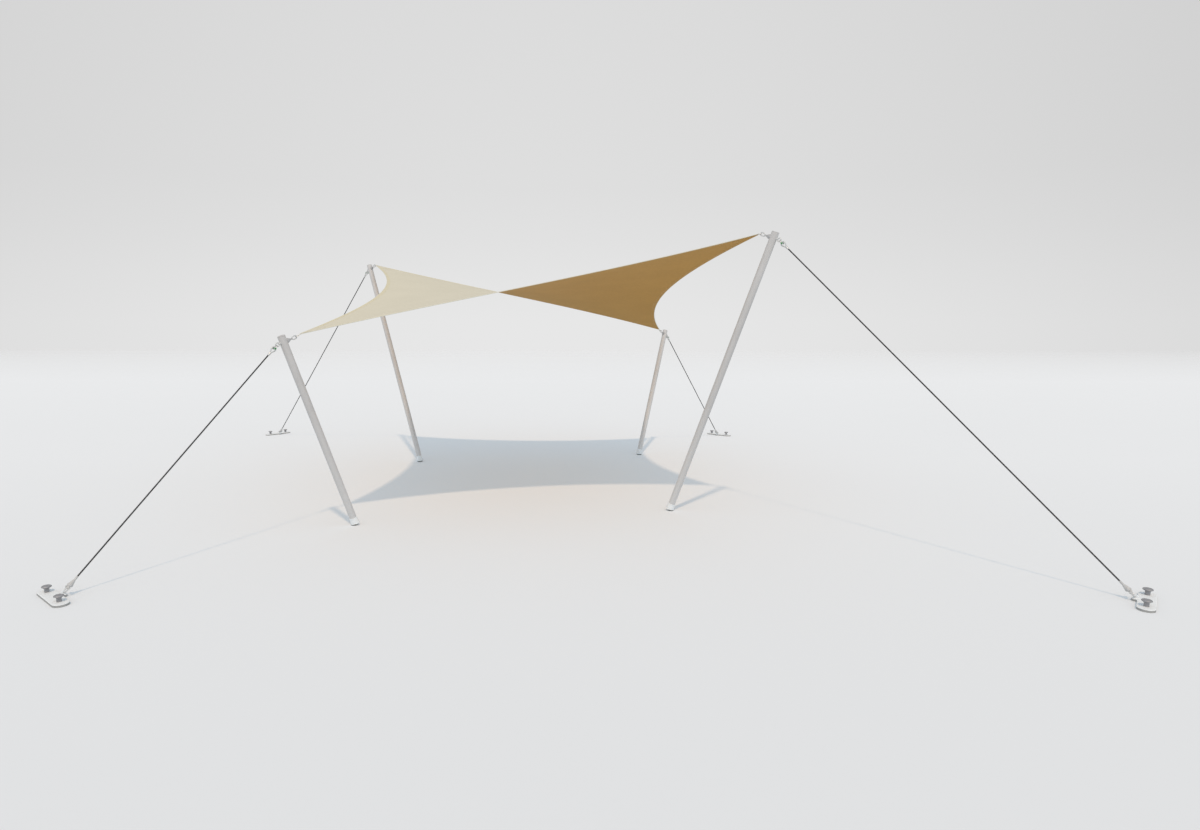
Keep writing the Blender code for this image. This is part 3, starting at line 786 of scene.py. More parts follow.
membrane = {
    "divisions": 32, "edgePull": 0.935, "refine": 4, "thickness": 0.0018,
    "hemWidth": 0.042, "hemCord": 0.0040, "hemLayer": 0.0008, "hemRings": 241,
}


def balancedNet():
    n = membrane["divisions"]
    edgePull = membrane["edgePull"] * n
    side = n + 1
    low, high = corners["low"], corners["high"]
    held = {
        0: (low["clothRadius"], 0, low["clothHeight"]),
        n: (0, -high["clothRadius"], high["clothHeight"]),
        n * side: (0, high["clothRadius"], high["clothHeight"]),
        side * side - 1: (-low["clothRadius"], 0, low["clothHeight"]),
    }
    pull = np.zeros((side * side, side * side))
    for i in range(side):
        for j in range(side):
            here = i * side + j
            links = []
            if i < n:
                links.append((here + side, edgePull if j in (0, n) else 1.0))
            if j < n:
                links.append((here + 1, edgePull if i in (0, n) else 1.0))
            for there, force in links:
                pull[here, here] += force
                pull[there, there] += force
                pull[here, there] -= force
                pull[there, here] -= force
    fixed = sorted(held)
    free = [index for index in range(side * side) if index not in held]
    places = np.zeros((side * side, 3))
    places[fixed] = [held[index] for index in fixed]
    load = -pull[np.ix_(free, fixed)] @ places[fixed]
    places[free] = np.linalg.solve(pull[np.ix_(free, free)], load)
    return places.reshape(side, side, 3)


net = balancedNet()
padded = np.pad(net, ((1, 1), (1, 1), (0, 0)), mode="edge")
padded[0] = 2 * padded[1] - padded[2]
padded[-1] = 2 * padded[-2] - padded[-3]
padded[:, 0] = 2 * padded[:, 1] - padded[:, 2]
padded[:, -1] = 2 * padded[:, -2] - padded[:, -3]


def clothPoint(u, v):
    # The membrane's middle surface. u and v run from 0 to 1 along two edges.
    n = membrane["divisions"]
    u = np.clip(np.asarray(u, float), 0, 1) * n
    v = np.clip(np.asarray(v, float), 0, 1) * n
    i, j = np.minimum(u.astype(int), n - 1), np.minimum(v.astype(int), n - 1)

    def weights(t):
        return (
            -0.5 * t + t**2 - 0.5 * t**3, 1 - 2.5 * t**2 + 1.5 * t**3,
            0.5 * t + 2 * t**2 - 1.5 * t**3, -0.5 * t**2 + 0.5 * t**3,
        )

    result = 0.0
    for a, first in enumerate(weights(u - i)):
        for b, second in enumerate(weights(v - j)):
            result = result + (first * second)[..., None] * padded[i + a, j + b]
    return result


def unit(vectors):
    return vectors / np.linalg.norm(vectors, axis=-1, keepdims=True)


def clothNormal(u, v):
    step = 0.002
    u, v = np.asarray(u, float), np.asarray(v, float)
    alongU = clothPoint(np.minimum(u + step, 1), v) - clothPoint(np.maximum(u - step, 0), v)
    alongV = clothPoint(u, np.minimum(v + step, 1)) - clothPoint(u, np.maximum(v - step, 0))
    normal = np.cross(alongU, alongV)
    return unit(normal * np.sign(normal[..., 2:]))


def linkPoint(corner):
    reach = head["linkOffset"] + head["linkHalfLength"] - head["linkRod"] - head["ringRod"]
    reach -= touchGap
    return poleFrame(corner) @ Vector((-reach, 0, boltHeight(corner)))


def clothEnd(corner):
    n = membrane["divisions"]
    if corner is corners["low"]:
        tip, inner = net[0, 0], net[1, 1]
    else:
        tip, inner = net[n, 0], net[n - 1, 1]
    tipRadius = math.hypot(tip[0], tip[1])
    share = corner["clothTrim"] / (tipRadius - math.hypot(inner[0], inner[1]))
    height = tip[2] + share * (inner[2] - tip[2])
    return Vector((tipRadius - corner["clothTrim"], 0, height))


def cornerFrame(corner):
    start = linkPoint(corner)
    run = clothEnd(corner) - start
    return Matrix.Translation(start) @ Matrix.Rotation(math.atan2(run.x, run.z), 4, "Y")


def trimPlane(kind, turn):
    # Where a corner of the cloth is trimmed, and which way is inward there
    corner = corners[kind]
    inward = (spun(turn) @ cornerFrame(corner)).to_3x3() @ Vector((0, 0, 1))
    return spun(turn) @ clothEnd(corner), inward


def mapCloth(mesh):
    # Flat metres across the cloth, for its weave
    layer = mesh.uv_layers.new(name="cloth")
    places = np.zeros(len(mesh.vertices) * 3)
    mesh.vertices.foreach_get("co", places)
    places = places.reshape(-1, 3)
    loops = np.zeros(len(mesh.loops), int)
    mesh.loops.foreach_get("vertex_index", loops)
    flat = places[loops][:, :2].astype(np.float32)
    layer.data.foreach_set("uv", flat.ravel())


def makeCanopy():
    steps = membrane["divisions"] * membrane["refine"]
    share = np.linspace(0, 1, steps + 1)
    u, v = np.meshgrid(share, share, indexing="ij")
    middle, normal = clothPoint(u, v), clothNormal(u, v)
    bm = bmesh.new()
    layers = []
    for side in (0.5, -0.5):
        points = middle + side * membrane["thickness"] * normal
        layers.append([[bm.verts.new(point) for point in row] for row in points])
    for index, layer in enumerate(layers):
        for i in range(steps):
            for j in range(steps):
                face = bm.faces.new((
                    layer[i][j], layer[i + 1][j], layer[i + 1][j + 1], layer[i][j + 1],
                ))
                face.material_index = index
    border = [(i, 0) for i in range(steps)] + [(steps, j) for j in range(steps)]
    border += [(i, steps) for i in range(steps, 0, -1)] + [(0, j) for j in range(steps, 0, -1)]
    upper, lower = layers
    for (i, j), (k, m) in zip(border, border[1:] + border[:1]):
        bm.faces.new((upper[i][j], upper[k][m], lower[k][m], lower[i][j]))
    bmesh.ops.recalc_face_normals(bm, faces=bm.faces)
    for label, kind, turn in cornerPlaces:
        place, inward = trimPlane(kind, turn)
        planeCut(bm, place, -inward, clear=True)
    mesh = closeMesh(bm, bpy.data.meshes.new("canopy"))
    # The top layer takes the cloth's colour; the under layer takes it painted darker and warmer, as
    # painted shade and glow
    for name in ("clothTop", "clothUnder"):
        mesh.materials.append(finishes[name])
    mapCloth(mesh)
    return smoothed(mesh, 50)


def edgeCoordinates(edge, along, inward):
    # Net coordinates of a place on one of the four edges, or so far in from it
    return [
        (along, inward), (1 - inward, along), (1 - along, 1 - inward), (inward, 1 - along),
    ][edge]


def edgeLine(edge, along):
    return clothPoint(*edgeCoordinates(edge, along, np.zeros_like(along)))


def inwardShare(edge, along, distance):
    # How far in net coordinates a distance in metres is, measured from the edge
    test = 0.004
    start = edgeLine(edge, along)
    run = clothPoint(*edgeCoordinates(edge, along, np.full_like(along, test))) - start
    tangent = unit(np.gradient(start, axis=0))
    square = run - tangent * (run * tangent).sum(axis=1, keepdims=True)
    return distance * test / np.maximum(np.linalg.norm(square, axis=1), 0.0008)


def insetLine(edge, along, distance):
    return clothPoint(*edgeCoordinates(edge, along, inwardShare(edge, along, distance)))


def edgeEnds(edge):
    # Shares along an edge between which it lies inside the trimmed corners
    share = np.linspace(0, 1, 4001)
    line = edgeLine(edge, share)
    keep = np.ones(len(share), bool)
    for label, kind, turn in cornerPlaces:
        place, inward = trimPlane(kind, turn)
        keep &= (line - np.array(place)) @ np.array(inward) > 0.002
    inside = share[keep]
    return inside[0], inside[-1]


def hemSection(edge, along):
    # Points of the folded hem round the edge at each place along it
    cord, layer = membrane["hemCord"], membrane["hemLayer"]
    half = membrane["thickness"] / 2
    edgePlace = edgeLine(edge, along)
    tangent = unit(np.gradient(edgePlace, axis=0))
    normal = clothNormal(*edgeCoordinates(edge, along, np.zeros_like(along)))
    out = np.cross(tangent, normal)
    inner = insetLine(edge, along, 0.01)
    out *= -np.sign(((inner - edgePlace) * out).sum(axis=1, keepdims=True))
    widths = (membrane["hemWidth"], membrane["hemWidth"] * 0.66, 0.016, 0.009)
    flat = [insetLine(edge, along, width) for width in widths]

    def flap(lift):
        return [line + lift * normal for line in flat]

    nose = [
        edgePlace + out * (cord * 0.4 + cord * math.cos(a)) + normal * cord * math.sin(a)
        for a in np.radians(np.linspace(118, -118, 13))
    ]
    over, under = flap(half + layer), flap(-half - layer)
    return over + nose + under[::-1] + flap(-half) + flap(half)[::-1]


def makeHem(edge):
    along = np.linspace(*edgeEnds(edge), membrane["hemRings"])
    section = hemSection(edge, along)
    rings = [[tuple(line[step]) for line in section] for step in range(len(along))]
    mesh = loftedPart(rings, "hemTop")
    for name in ("hemCord", "clothUnder"):
        mesh.materials.append(finishes[name])
    for index, face in enumerate(mesh.polygons):
        # Steps 4 to 15 of the section go round the cord, and 16 to 24 lie under the cloth
        step = index % len(section)
        face.material_index = 1 if 4 <= step <= 15 else 2 if 16 <= step <= 24 else 0
    mapCloth(mesh)
    return smoothed(mesh, 60)


stitch = {
    "length": 0.0068, "width": 0.0016, "height": 0.0011, "pitch": 0.0105, "lift": 0.0002,
    "hemInner": 0.005, "hemOuter": 0.014, "patchInset": 0.005, "clear": 0.004,
}


def stitchMesh(rows):
    points = np.concatenate([row[0] for row in rows])
    mesh = bpy.data.meshes.new("stitches")
    mesh.from_pydata([tuple(point) for point in points], [], [])
    for name, index in (("along", 1), ("upward", 2)):
        attribute = mesh.attributes.new(name, "FLOAT_VECTOR", "POINT")
        values = np.concatenate([row[index] for row in rows]).astype(np.float32)
        attribute.data.foreach_set("vector", values.ravel())
    return grown(stitchTree, mesh, {
        "Stitch Length": stitch["length"], "Stitch Width": stitch["width"],
        "Stitch Height": stitch["height"], "Finish": finishes["thread"],
    })


def runAlong(line):
    # How far along a line each of its points is
    return np.concatenate([[0], np.cumsum(np.linalg.norm(np.diff(line, axis=0), axis=1))])


def evenShares(edge, start, end, pitch):
    share = np.linspace(start, end, 2001)
    run = runAlong(edgeLine(edge, share))
    count = int(run[-1] / pitch)
    return np.interp((np.arange(count) + 0.5) * pitch, run, share)


def hemStitches(edge, side):
    start, end = edgeEnds(edge)
    along = evenShares(edge, start + stitch["clear"], end - stitch["clear"], stitch["pitch"])
    level = membrane["thickness"] / 2 + membrane["hemLayer"] + stitch["lift"]
    rows = []
    for distance in (stitch["hemOuter"], membrane["hemWidth"] - stitch["hemInner"]):
        place = edgeCoordinates(edge, along, inwardShare(edge, along, distance))
        points, normal = clothPoint(*place), clothNormal(*place)
        direction = unit(np.gradient(points, axis=0))
        rows.append((points + side * level * normal, direction, side * normal))
    return rows


allHems = [makeHem(edge) for edge in range(4)]
canopy = settle("canopyCloth", makeCanopy(), ["canopy"])
hems = [settle(f"hem{edge}", mesh, []) for edge, mesh in enumerate(allHems)]
print("canopy made")
print("canopy made")


# Pieces of one corner, each in its own frame

pole = {
    "radius": 0.038, "wall": 0.003, "footHeight": 0.095, "capThickness": 0.004,
    "capDepth": 0.022, "drillRadius": 0.0083, "drillReach": 0.06, "sides": 72,
}


def makePole(corner):
    inner, outer = pole["radius"] - pole["wall"], pole["radius"]
    top = poleLength(corner) - pole["capThickness"]
    bottom = pole["footHeight"]
    profile = softened(
        [(inner, bottom), (outer, bottom), (outer, top), (inner, top)], 0.0007, 2, closed=True)
    tube = turnedPart(profile, pole["sides"], "poleTube", closed=True)
    drill = rodPart(pole["drillRadius"], -pole["drillReach"], pole["drillReach"], 32, "poleTube")
    return carved(tube, moved(alongX(drill), z=boltHeight(corner)))


def makeCap(corner):
    top = poleLength(corner)
    plugRadius = pole["radius"] - pole["wall"] - touchGap
    under = top - pole["capThickness"] + touchGap
    outline = softened([
        (0, top - pole["capDepth"]), (plugRadius, top - pole["capDepth"]), (plugRadius, under),
        (pole["radius"], under), (pole["radius"], top - 0.0004),
        (pole["radius"] * 0.72, top), (pole["radius"] * 0.66, top - 0.0009),
        (0, top - 0.0007),
    ], 0.0011, 3)
    return turnedPart(outline, pole["sides"], "capPlastic")


foot = {
    "baseRadius": 0.0455, "topRadius": 0.0415, "ringRadius": 0.048, "ringStart": 0.0205,
    "ringHeight": 0.013, "soleRadius": 0.0595, "soleCentre": 0.0555, "spigotTop": 0.111,
    "sides": 72,
    "darkHeight": 0.0075,  # up the ring
    "groundShadeLevel": 0.018,  # above the ground
}


def makeFoot(corner):
    # A sleeve with a lip, a dark ring and a domed sole that stands flat on the ground; the dark
    # band low down is partly painted contact shade
    base, top = foot["baseRadius"], foot["topRadius"]
    ringTop = foot["ringStart"] + foot["ringHeight"]
    inner = pole["radius"] - pole["wall"] - touchGap
    height = pole["footHeight"] - touchGap
    edge = -math.degrees(math.acos(base / foot["soleRadius"]))
    sole = arcPoints((0, foot["soleCentre"]), foot["soleRadius"], -90, edge, 24)
    sole[0] = (0, foot["soleCentre"] - foot["soleRadius"])
    ring = softened([
        sole[-1], (foot["ringRadius"], foot["ringStart"]),
        (foot["ringRadius"], foot["ringStart"] + foot["darkHeight"]),
        (foot["ringRadius"], ringTop), (base + 0.0002, ringTop),
    ], 0.0016, 3)
    shell = softened([
        (base, ringTop), (base - 0.0008, ringTop + 0.018), (top + 0.0002, height - 0.014),
        (top + 0.0002, height - 0.0072), (top + 0.0012, height - 0.0066),
        (top + 0.0012, height - 0.0012), (top, height), (inner, height),
        (inner, foot["spigotTop"]), (inner - 0.002, foot["spigotTop"]), (0, foot["spigotTop"]),
    ], 0.0010, 2)
    mesh = turnedPart(sole[:-1] + ring + shell, foot["sides"], "whiteShell")
    mesh.materials.append(finishes["darkRim"])
    return cutAtGround(mesh, poleFrame(corner))


def cutAtGround(mesh, placing):
    # Takes away what would lie below the ground when the foot stands in its place, and darkens what
    # is left close above it: a band level with the ground that paints the ring's dark colour
    # together with painted contact shade where the foot meets the ground
    bm = bmesh.new()
    bm.from_mesh(mesh)
    bm.transform(placing)
    planeCut(bm, (0, 0, 0), (0, 0, -1), clear=True)
    planeCut(bm, (0, 0, foot["groundShadeLevel"]), (0, 0, -1), clear=False)
    low = [face for face in bm.faces if face.calc_center_bounds().z < foot["groundShadeLevel"]]
    bm.transform(placing.inverted())
    for face in low:
        height = face.calc_center_bounds().z - foot["ringStart"]
        face.material_index = 1 if height < foot["darkHeight"] else 0
    return closeMesh(bm, mesh)


bolt = {
    "shankRadius": 0.008, "shankStart": -0.078, "shankEnd": 0.0525, "threadStart": -0.0985,
    "threadEnd": -0.077, "threadPitch": 0.0018, "threadDepth": 0.0007, "nutFlats": 0.027,
    "nutStart": -0.0695, "nutEnd": -0.0573, "eyeRadius": 0.0175, "rodRadius": head["linkRod"],
    "linkHalfWidth": 0.0150, "seatDepth": 0.010,
}


def threadOutline():
    radius, pitch, height = bolt["shankRadius"], bolt["threadPitch"], bolt["threadStart"]
    outline = [(0, height), (radius, height)]
    while height < bolt["threadEnd"] - pitch:
        outline.append((radius - bolt["threadDepth"], height + pitch * 0.5))
        height += pitch
        outline.append((radius, height))
    return outline + [(radius, bolt["threadEnd"]), (0, bolt["threadEnd"])]


def makeEyeBolt(corner):
    shank = rodPart(bolt["shankRadius"], bolt["shankStart"], bolt["shankEnd"], 32, "zinc")
    thread = turnedPart(threadOutline(), 32, "zinc")
    surface = pole["radius"] + touchGap
    seat = surface - bolt["seatDepth"]
    washer = turnedPart(softened([
        (0, seat), (0.0175, seat), (0.0175, 0.0414), (0.0135, 0.0420), (0.0105, 0.0466),
        (0.0088, 0.0520), (0, 0.0520),
    ], 0.0012, 3), 48, "zinc")
    saddle = turnedPart(softened([
        (0, seat), (0.0245, seat), (0.0242, 0.0480), (0.0215, 0.0560), (0.0172, 0.0572),
        (0, 0.0572),
    ], 0.0020, 3), 48, "darkSteel")
    saddle.transform(Matrix.Rotation(math.pi, 4, "X"))
    parts = [
        carved(alongX(part), rodPart(surface, -0.06, 0.06, 96, "zinc"))
        for part in (washer, saddle)
    ]
    nut = hexPart(bolt["nutFlats"], bolt["nutStart"], bolt["nutEnd"], "darkSteel")
    sleeve = turnedPart(softened([
        (0, -0.0790), (0.0100, -0.0790), (0.0122, -0.0696), (0, -0.0696),
    ], 0.0008, 2), 32, "darkSteel")
    parts += [alongX(part) for part in (shank, thread, nut, sleeve)]
    eye = arcPoints((head["eyeOffset"], 0), bolt["eyeRadius"], 0, 360, 72)[:-1]
    run = head["linkHalfLength"] - bolt["linkHalfWidth"]
    link = arcPoints((-head["linkOffset"] - run, 0), bolt["linkHalfWidth"], 90, 270, 36)
    link += arcPoints((-head["linkOffset"] + run, 0), bolt["linkHalfWidth"], -90, 90, 36)
    for line in (eye, link):
        path = [(x, 0, z) for x, z in line]
        parts.append(barPart(path, bolt["rodRadius"], "zinc", closed=True))
    return moved(joined(parts), z=boltHeight(corner))


ring = {
    "halfWidth": 0.0155, "length": 0.024, "rod": head["ringRod"], "nose": 0.010, "bend": 0.005,
}


def makeCornerRing(corner):
    nose, bend = ring["nose"], ring["bend"]
    side, far = ring["halfWidth"] - bend, ring["length"] - bend
    outline = arcPoints((0, nose), nose, 205, 335, 26)
    outline += arcPoints((side, far), bend, -20, 90, 12)
    outline += arcPoints((-side, far), bend, 90, 200, 12)
    return barPart([(0, y, z) for y, z in outline], ring["rod"], "zinc", closed=True)


strap = {"width": 0.020, "thickness": 0.0016, "reach": 0.055, "clear": 0.0002}
patch = {
    "start": -0.020, "reach": 0.25, "bow": 0.10, "edge": 0.0095, "thickness": 0.0010,
    "low": 0.0019, "high": 0.0038, "dip": 0.0008, "rows": 60, "columns": 24,
    "riseEnd": 0.11, "riseRun": 0.05, "dipRun": 0.015, "firstStitch": 14,
}


def cornerSurface(corner, share, across):
    # Cloth near a corner, in the corner's own frame with X outward, and its normals.
    # Share runs in along the diagonal, and across from -1 to 1 between the two edges.
    first, second = share * (1 + across), share * (1 - across)
    isLow = corner is corners["low"]
    u = first if isLow else 1 - first
    spin = spunRows(0 if isLow else -90)
    return clothPoint(u, second) @ spin, clothNormal(u, second) @ spin


def sharesInward(corner, depths):
    # Shares along the diagonal at the given depths in from the membrane's trimmed end
    share = np.linspace(0, 0.3, 1201)
    line = cornerSurface(corner, share, np.zeros_like(share))[0]
    inward = np.array(cornerFrame(corner).to_3x3() @ Vector((0, 0, 1)))
    depth = (line - np.array(clothEnd(corner))) @ inward
    return np.interp(depths, depth, share)


def patchGrid(corner, side, level, inset=0.0):
    # Points over the patch: pointed at the tip, as wide as the cloth, and rounded inside
    depths = np.linspace(patch["start"], patch["reach"] - inset, patch["rows"])
    share = sharesInward(corner, depths)
    tips = cornerSurface(corner, share, np.ones_like(share))[0]
    half = np.linalg.norm(tips - cornerSurface(corner, share, np.zeros_like(share))[0], axis=1)
    wide = np.clip(1 - (patch["edge"] + inset) / np.maximum(half, 0.0005), 0.2, 0.94)
    bow = np.clip((depths - patch["reach"] + patch["bow"] + inset) / patch["bow"], 0, 0.999)
    wide = wide * np.sqrt(1 - bow**2)
    across = np.linspace(-1, 1, patch["columns"])[None, :] * wide[:, None]
    points, normals = cornerSurface(corner, np.repeat(share[:, None], patch["columns"], 1), across)
    rise = np.clip((patch["riseEnd"] - depths) / patch["riseRun"], 0, 1)[:, None, None]
    lift = patch["low"] + (patch["high"] - patch["low"]) * rise**2 * (3 - 2 * rise) + level
    clear = half[:, None] * (1 - np.abs(across)) - membrane["hemWidth"]
    lift = lift - patch["dip"] * np.clip(clear / patch["dipRun"], 0, 1)[:, :, None]
    return points + side * lift * normals, normals


def makePatch(corner, side, finish):
    outer = patchGrid(corner, side, patch["thickness"])[0]
    inner = patchGrid(corner, side, 0.0)[0]
    rings = [
        [tuple(point) for point in (*above, *below[::-1])] for above, below in zip(outer, inner)
    ]
    return loftedPart(rings, finish)


def patchStitches(side):
    # A seam round each patch, in the tent's own frame
    first, last = patch["firstStitch"], patch["rows"] - 1
    level = patch["thickness"] + stitch["lift"]
    rows = []
    for label, kind, turn in cornerPlaces:
        loop, upward = [
            np.concatenate([grid[first:last, 0], grid[last], grid[last:first:-1, -1]])
            for grid in patchGrid(corners[kind], side, level, stitch["patchInset"])
        ]
        run = runAlong(loop)
        marks = np.arange(stitch["clear"], run[-1], stitch["pitch"])
        placed, raised = [
            np.stack([np.interp(marks, run, line[:, k]) for k in range(3)], axis=1)
            for line in (loop, upward)
        ]
        direction = unit(np.gradient(placed, axis=0))
        spin = spunRows(turn)
        rows.append((placed @ spin, direction @ spin, side * raised @ spin))
    return rows


def makeWebbing(corner):
    # A strap folded round the ring's bar and sewn between the membrane and its patches
    back = cornerFrame(corner).inverted()
    half, width = strap["thickness"] / 2, strap["width"] / 2
    share = sharesInward(corner, np.linspace(0.004, strap["reach"], 16))
    line, normal = cornerSurface(corner, share, np.zeros_like(share))
    stack = membrane["thickness"] / 2 + membrane["hemLayer"] + half + strap["clear"]
    sides = [
        [back @ Vector(point) for point in line + side * stack * normal] for side in (1, -1)
    ]
    if sides[0][0].x < sides[1][0].x:
        sides.reverse()
    fold = arcPoints((0, ring["length"]), ring["rod"] + touchGap + half, 70, -250, 30)
    path = sides[0][::-1] + [Vector((x, 0, z)) for x, z in fold] + sides[1]
    path = [Vector((point.x, 0, point.z)) for point in path]
    section = softened(
        [(-half, -width), (half, -width), (half, width), (-half, width)], 0.0006, 2, closed=True)
    rings = []
    for index, point in enumerate(path):
        before = path[max(index - 1, 0)]
        after = path[min(index + 1, len(path) - 1)]
        out = (after - before).normalized().cross(Vector((0, 1, 0)))
        rings.append([tuple(point + out * a + Vector((0, b, 0))) for a, b in section])
    parts = [loftedPart(rings, "webbing")]
    for side, finish in ((1, "clothTop"), (-1, "clothUnder")):
        sheet = makePatch(corner, side, finish)
        sheet.transform(back)
        parts.append(sheet)
    return joined(parts)


shackleShape = {"rod": 0.0045, "pin": 0.0055, "pinHead": 0.009, "ear": 0.0098}


def makeShackle(crown, pinDistance, legSpread, headSide, pinFinish):
    look = shackleShape
    bend = arcPoints((0, crown + legSpread), legSpread, 180, 360, 48)
    path = [(-legSpread, pinDistance)] + bend + [(legSpread, pinDistance)]
    parts = [barPart([(0, y, z) for y, z in path], look["rod"], "zinc")]
    reach = legSpread + look["rod"]
    for side in (-1, 1):
        ear = turnedPart(softened([
            (0, -0.0050), (look["ear"], -0.0050), (look["ear"], 0.0050), (0, 0.0050),
        ], 0.0014, 3), 40, "zinc")
        parts.append(moved(alongY(ear), y=side * legSpread, z=pinDistance))
    pin = turnedPart(softened([
        (0, -reach - 0.0070), (look["pin"], -reach - 0.0070), (look["pin"], reach + 0.0010),
        (look["pinHead"] - 0.0016, reach + 0.0010), (look["pinHead"], reach + 0.0024),
        (look["pinHead"], reach + 0.0115), (0.0040, reach + 0.0115), (0.0036, reach + 0.0100),
        (0, reach + 0.0100),
    ], 0.0009, 3), 40, pinFinish)
    parts.append(moved(alongY(pin, headSide), z=pinDistance))
    return joined(parts)


stay = {
    "upperPin": 0.050, "upperSpread": 0.0155, "lowerPin": 0.045, "lowerSpread": 0.0240,
    "thimbleRod": 0.0058, "thimbleCrown": 0.0215, "thimbleTip": 0.120, "ferruleEnd": 0.140,
    "ropeRadius": 0.0065, "socketStart": 0.150, "lay": 0.085, "strands": 6,
    "strandDepth": 0.16, "ringPitch": 0.0050,
}


def makeStayShackle(corner):
    crown = bolt["eyeRadius"] - bolt["rodRadius"] - shackleShape["rod"] - touchGap
    return makeShackle(
        crown, stay["upperPin"], stay["upperSpread"], corner["pinSide"], "greenPaint")


def makeThimble(corner):
    crownRadius = stay["thimbleCrown"]
    slack = crownRadius - stay["thimbleRod"] - shackleShape["pin"] - touchGap
    centre = stay["upperPin"] + slack
    lead = math.degrees(math.asin(crownRadius / (stay["thimbleTip"] - centre)))
    crown = arcPoints((0, centre), crownRadius, lead, -180 - lead, 60)
    path = [Vector((x, 0, z)) for x, z in crown]
    tip = Vector((0, 0, stay["thimbleTip"] - 0.006))
    left, right = path[-1], path[0]
    path += [left.lerp(tip, share / 8) for share in range(1, 8)]
    path += [tip]
    path += [tip.lerp(right, share / 8) for share in range(1, 8)]
    loop = barPart(path, stay["thimbleRod"], "zinc", closed=True)
    ferrule = turnedPart(softened([
        (0, 0.1000), (0.0098, 0.1000), (0.0118, 0.1045), (0.0116, 0.1120), (0.0108, 0.1126),
        (0.0108, 0.1146), (0.0115, 0.1152), (0.0112, 0.1240), (0.0104, 0.1246),
        (0.0104, 0.1266), (0.0108, 0.1272), (0.0086, stay["ferruleEnd"] - 0.0008),
        (0.0078, stay["ferruleEnd"]), (0, stay["ferruleEnd"]),
    ], 0.0008, 2), 48, "zinc")
    return joined([loop, ferrule])


def makeRope(corner):
    start = stay["ferruleEnd"] + touchGap
    length = stayLength(corner) - stay["socketStart"] - touchGap - start
    rope = grown(ropeTree, bpy.data.meshes.new("rope"), {
        "Rope Length": length, "Rope Radius": stay["ropeRadius"], "Lay Length": stay["lay"],
        "Strand Depth": stay["strandDepth"], "Strands": stay["strands"],
        "Section Points": stay["strands"] * 4, "Rings": int(length / stay["ringPitch"]),
        "Finish": finishes["ropeSheath"],
    })
    return moved(rope, z=start)


# Height up the stay, half width along the pin and half depth: a neck round the rope, a cone
# that widens down to the plate, and a flat tongue round the pin
socketSections = [
    (0.1500, 0.0066, 0.0066), (0.1492, 0.0078, 0.0078), (0.1400, 0.0080, 0.0080),
    (0.1150, 0.0084, 0.0084), (0.1130, 0.0100, 0.0100), (0.1100, 0.0106, 0.0106),
    (0.1000, 0.0132, 0.0130), (0.0900, 0.0163, 0.0158), (0.0800, 0.0195, 0.0187),
    (0.0720, 0.0219, 0.0209), (0.0670, 0.0229, 0.0218), (0.0625, 0.0229, 0.0218),
    (0.0600, 0.0219, 0.0206), (0.0586, 0.0202, 0.0176), (0.0576, 0.0190, 0.0126),
    (0.0566, 0.0187, 0.0107), (0.0500, 0.0187, 0.0105), (0.0420, 0.0187, 0.0105),
    (0.0370, 0.0180, 0.0100), (0.0335, 0.0170, 0.0088), (0.0317, 0.0158, 0.0078),
    (0.0310, 0.0146, 0.0068),
]


def makeSocket(corner):
    body = loftedPart(
        [ringPoints(48, depth, width, height) for height, width, depth in socketSections],
        "castZinc")
    bore = rodPart(shackleShape["pin"] + touchGap, -0.03, 0.03, 40, "zinc")
    return carved(body, moved(alongY(bore), z=stay["lowerPin"]))


plate = {
    "thickness": 0.022, "reach": 0.073, "endRadius": 0.060, "endSpread": 0.185,
    "tongue": 0.024, "fillet": 0.012, "bevel": 0.0050, "chamfer": 0.0008, "paintedDown": 0.0035,
    "lugThickness": 0.010, "lugRadius": 0.018, "lugHole": 0.0075, "lugFront": 0.020,
    "lugBack": 0.034, "pegSpread": 0.154, "weldRod": 0.0026,
}


def plateOutline(anchor, inset):
    # Anticlockwise round the bar, with a filleted tongue toward the stay
    middle = anchor + plate["reach"]
    radius, tongue = plate["endRadius"] - inset, plate["tongue"] - inset
    fillet = plate["fillet"] + inset
    bendX = middle - plate["endRadius"] - plate["fillet"]
    bendY = plate["tongue"] + plate["fillet"]
    outline = arcPoints((middle, -plate["endSpread"]), radius, -180, 0, 40)
    outline += arcPoints((middle, plate["endSpread"]), radius, 0, 180, 40)
    outline += arcPoints((bendX, bendY), fillet, 0, -90, 10)
    outline += arcPoints((anchor, 0), tongue, 90, 270, 24)
    outline += arcPoints((bendX, -bendY), fillet, 90, 0, 10)
    return outline


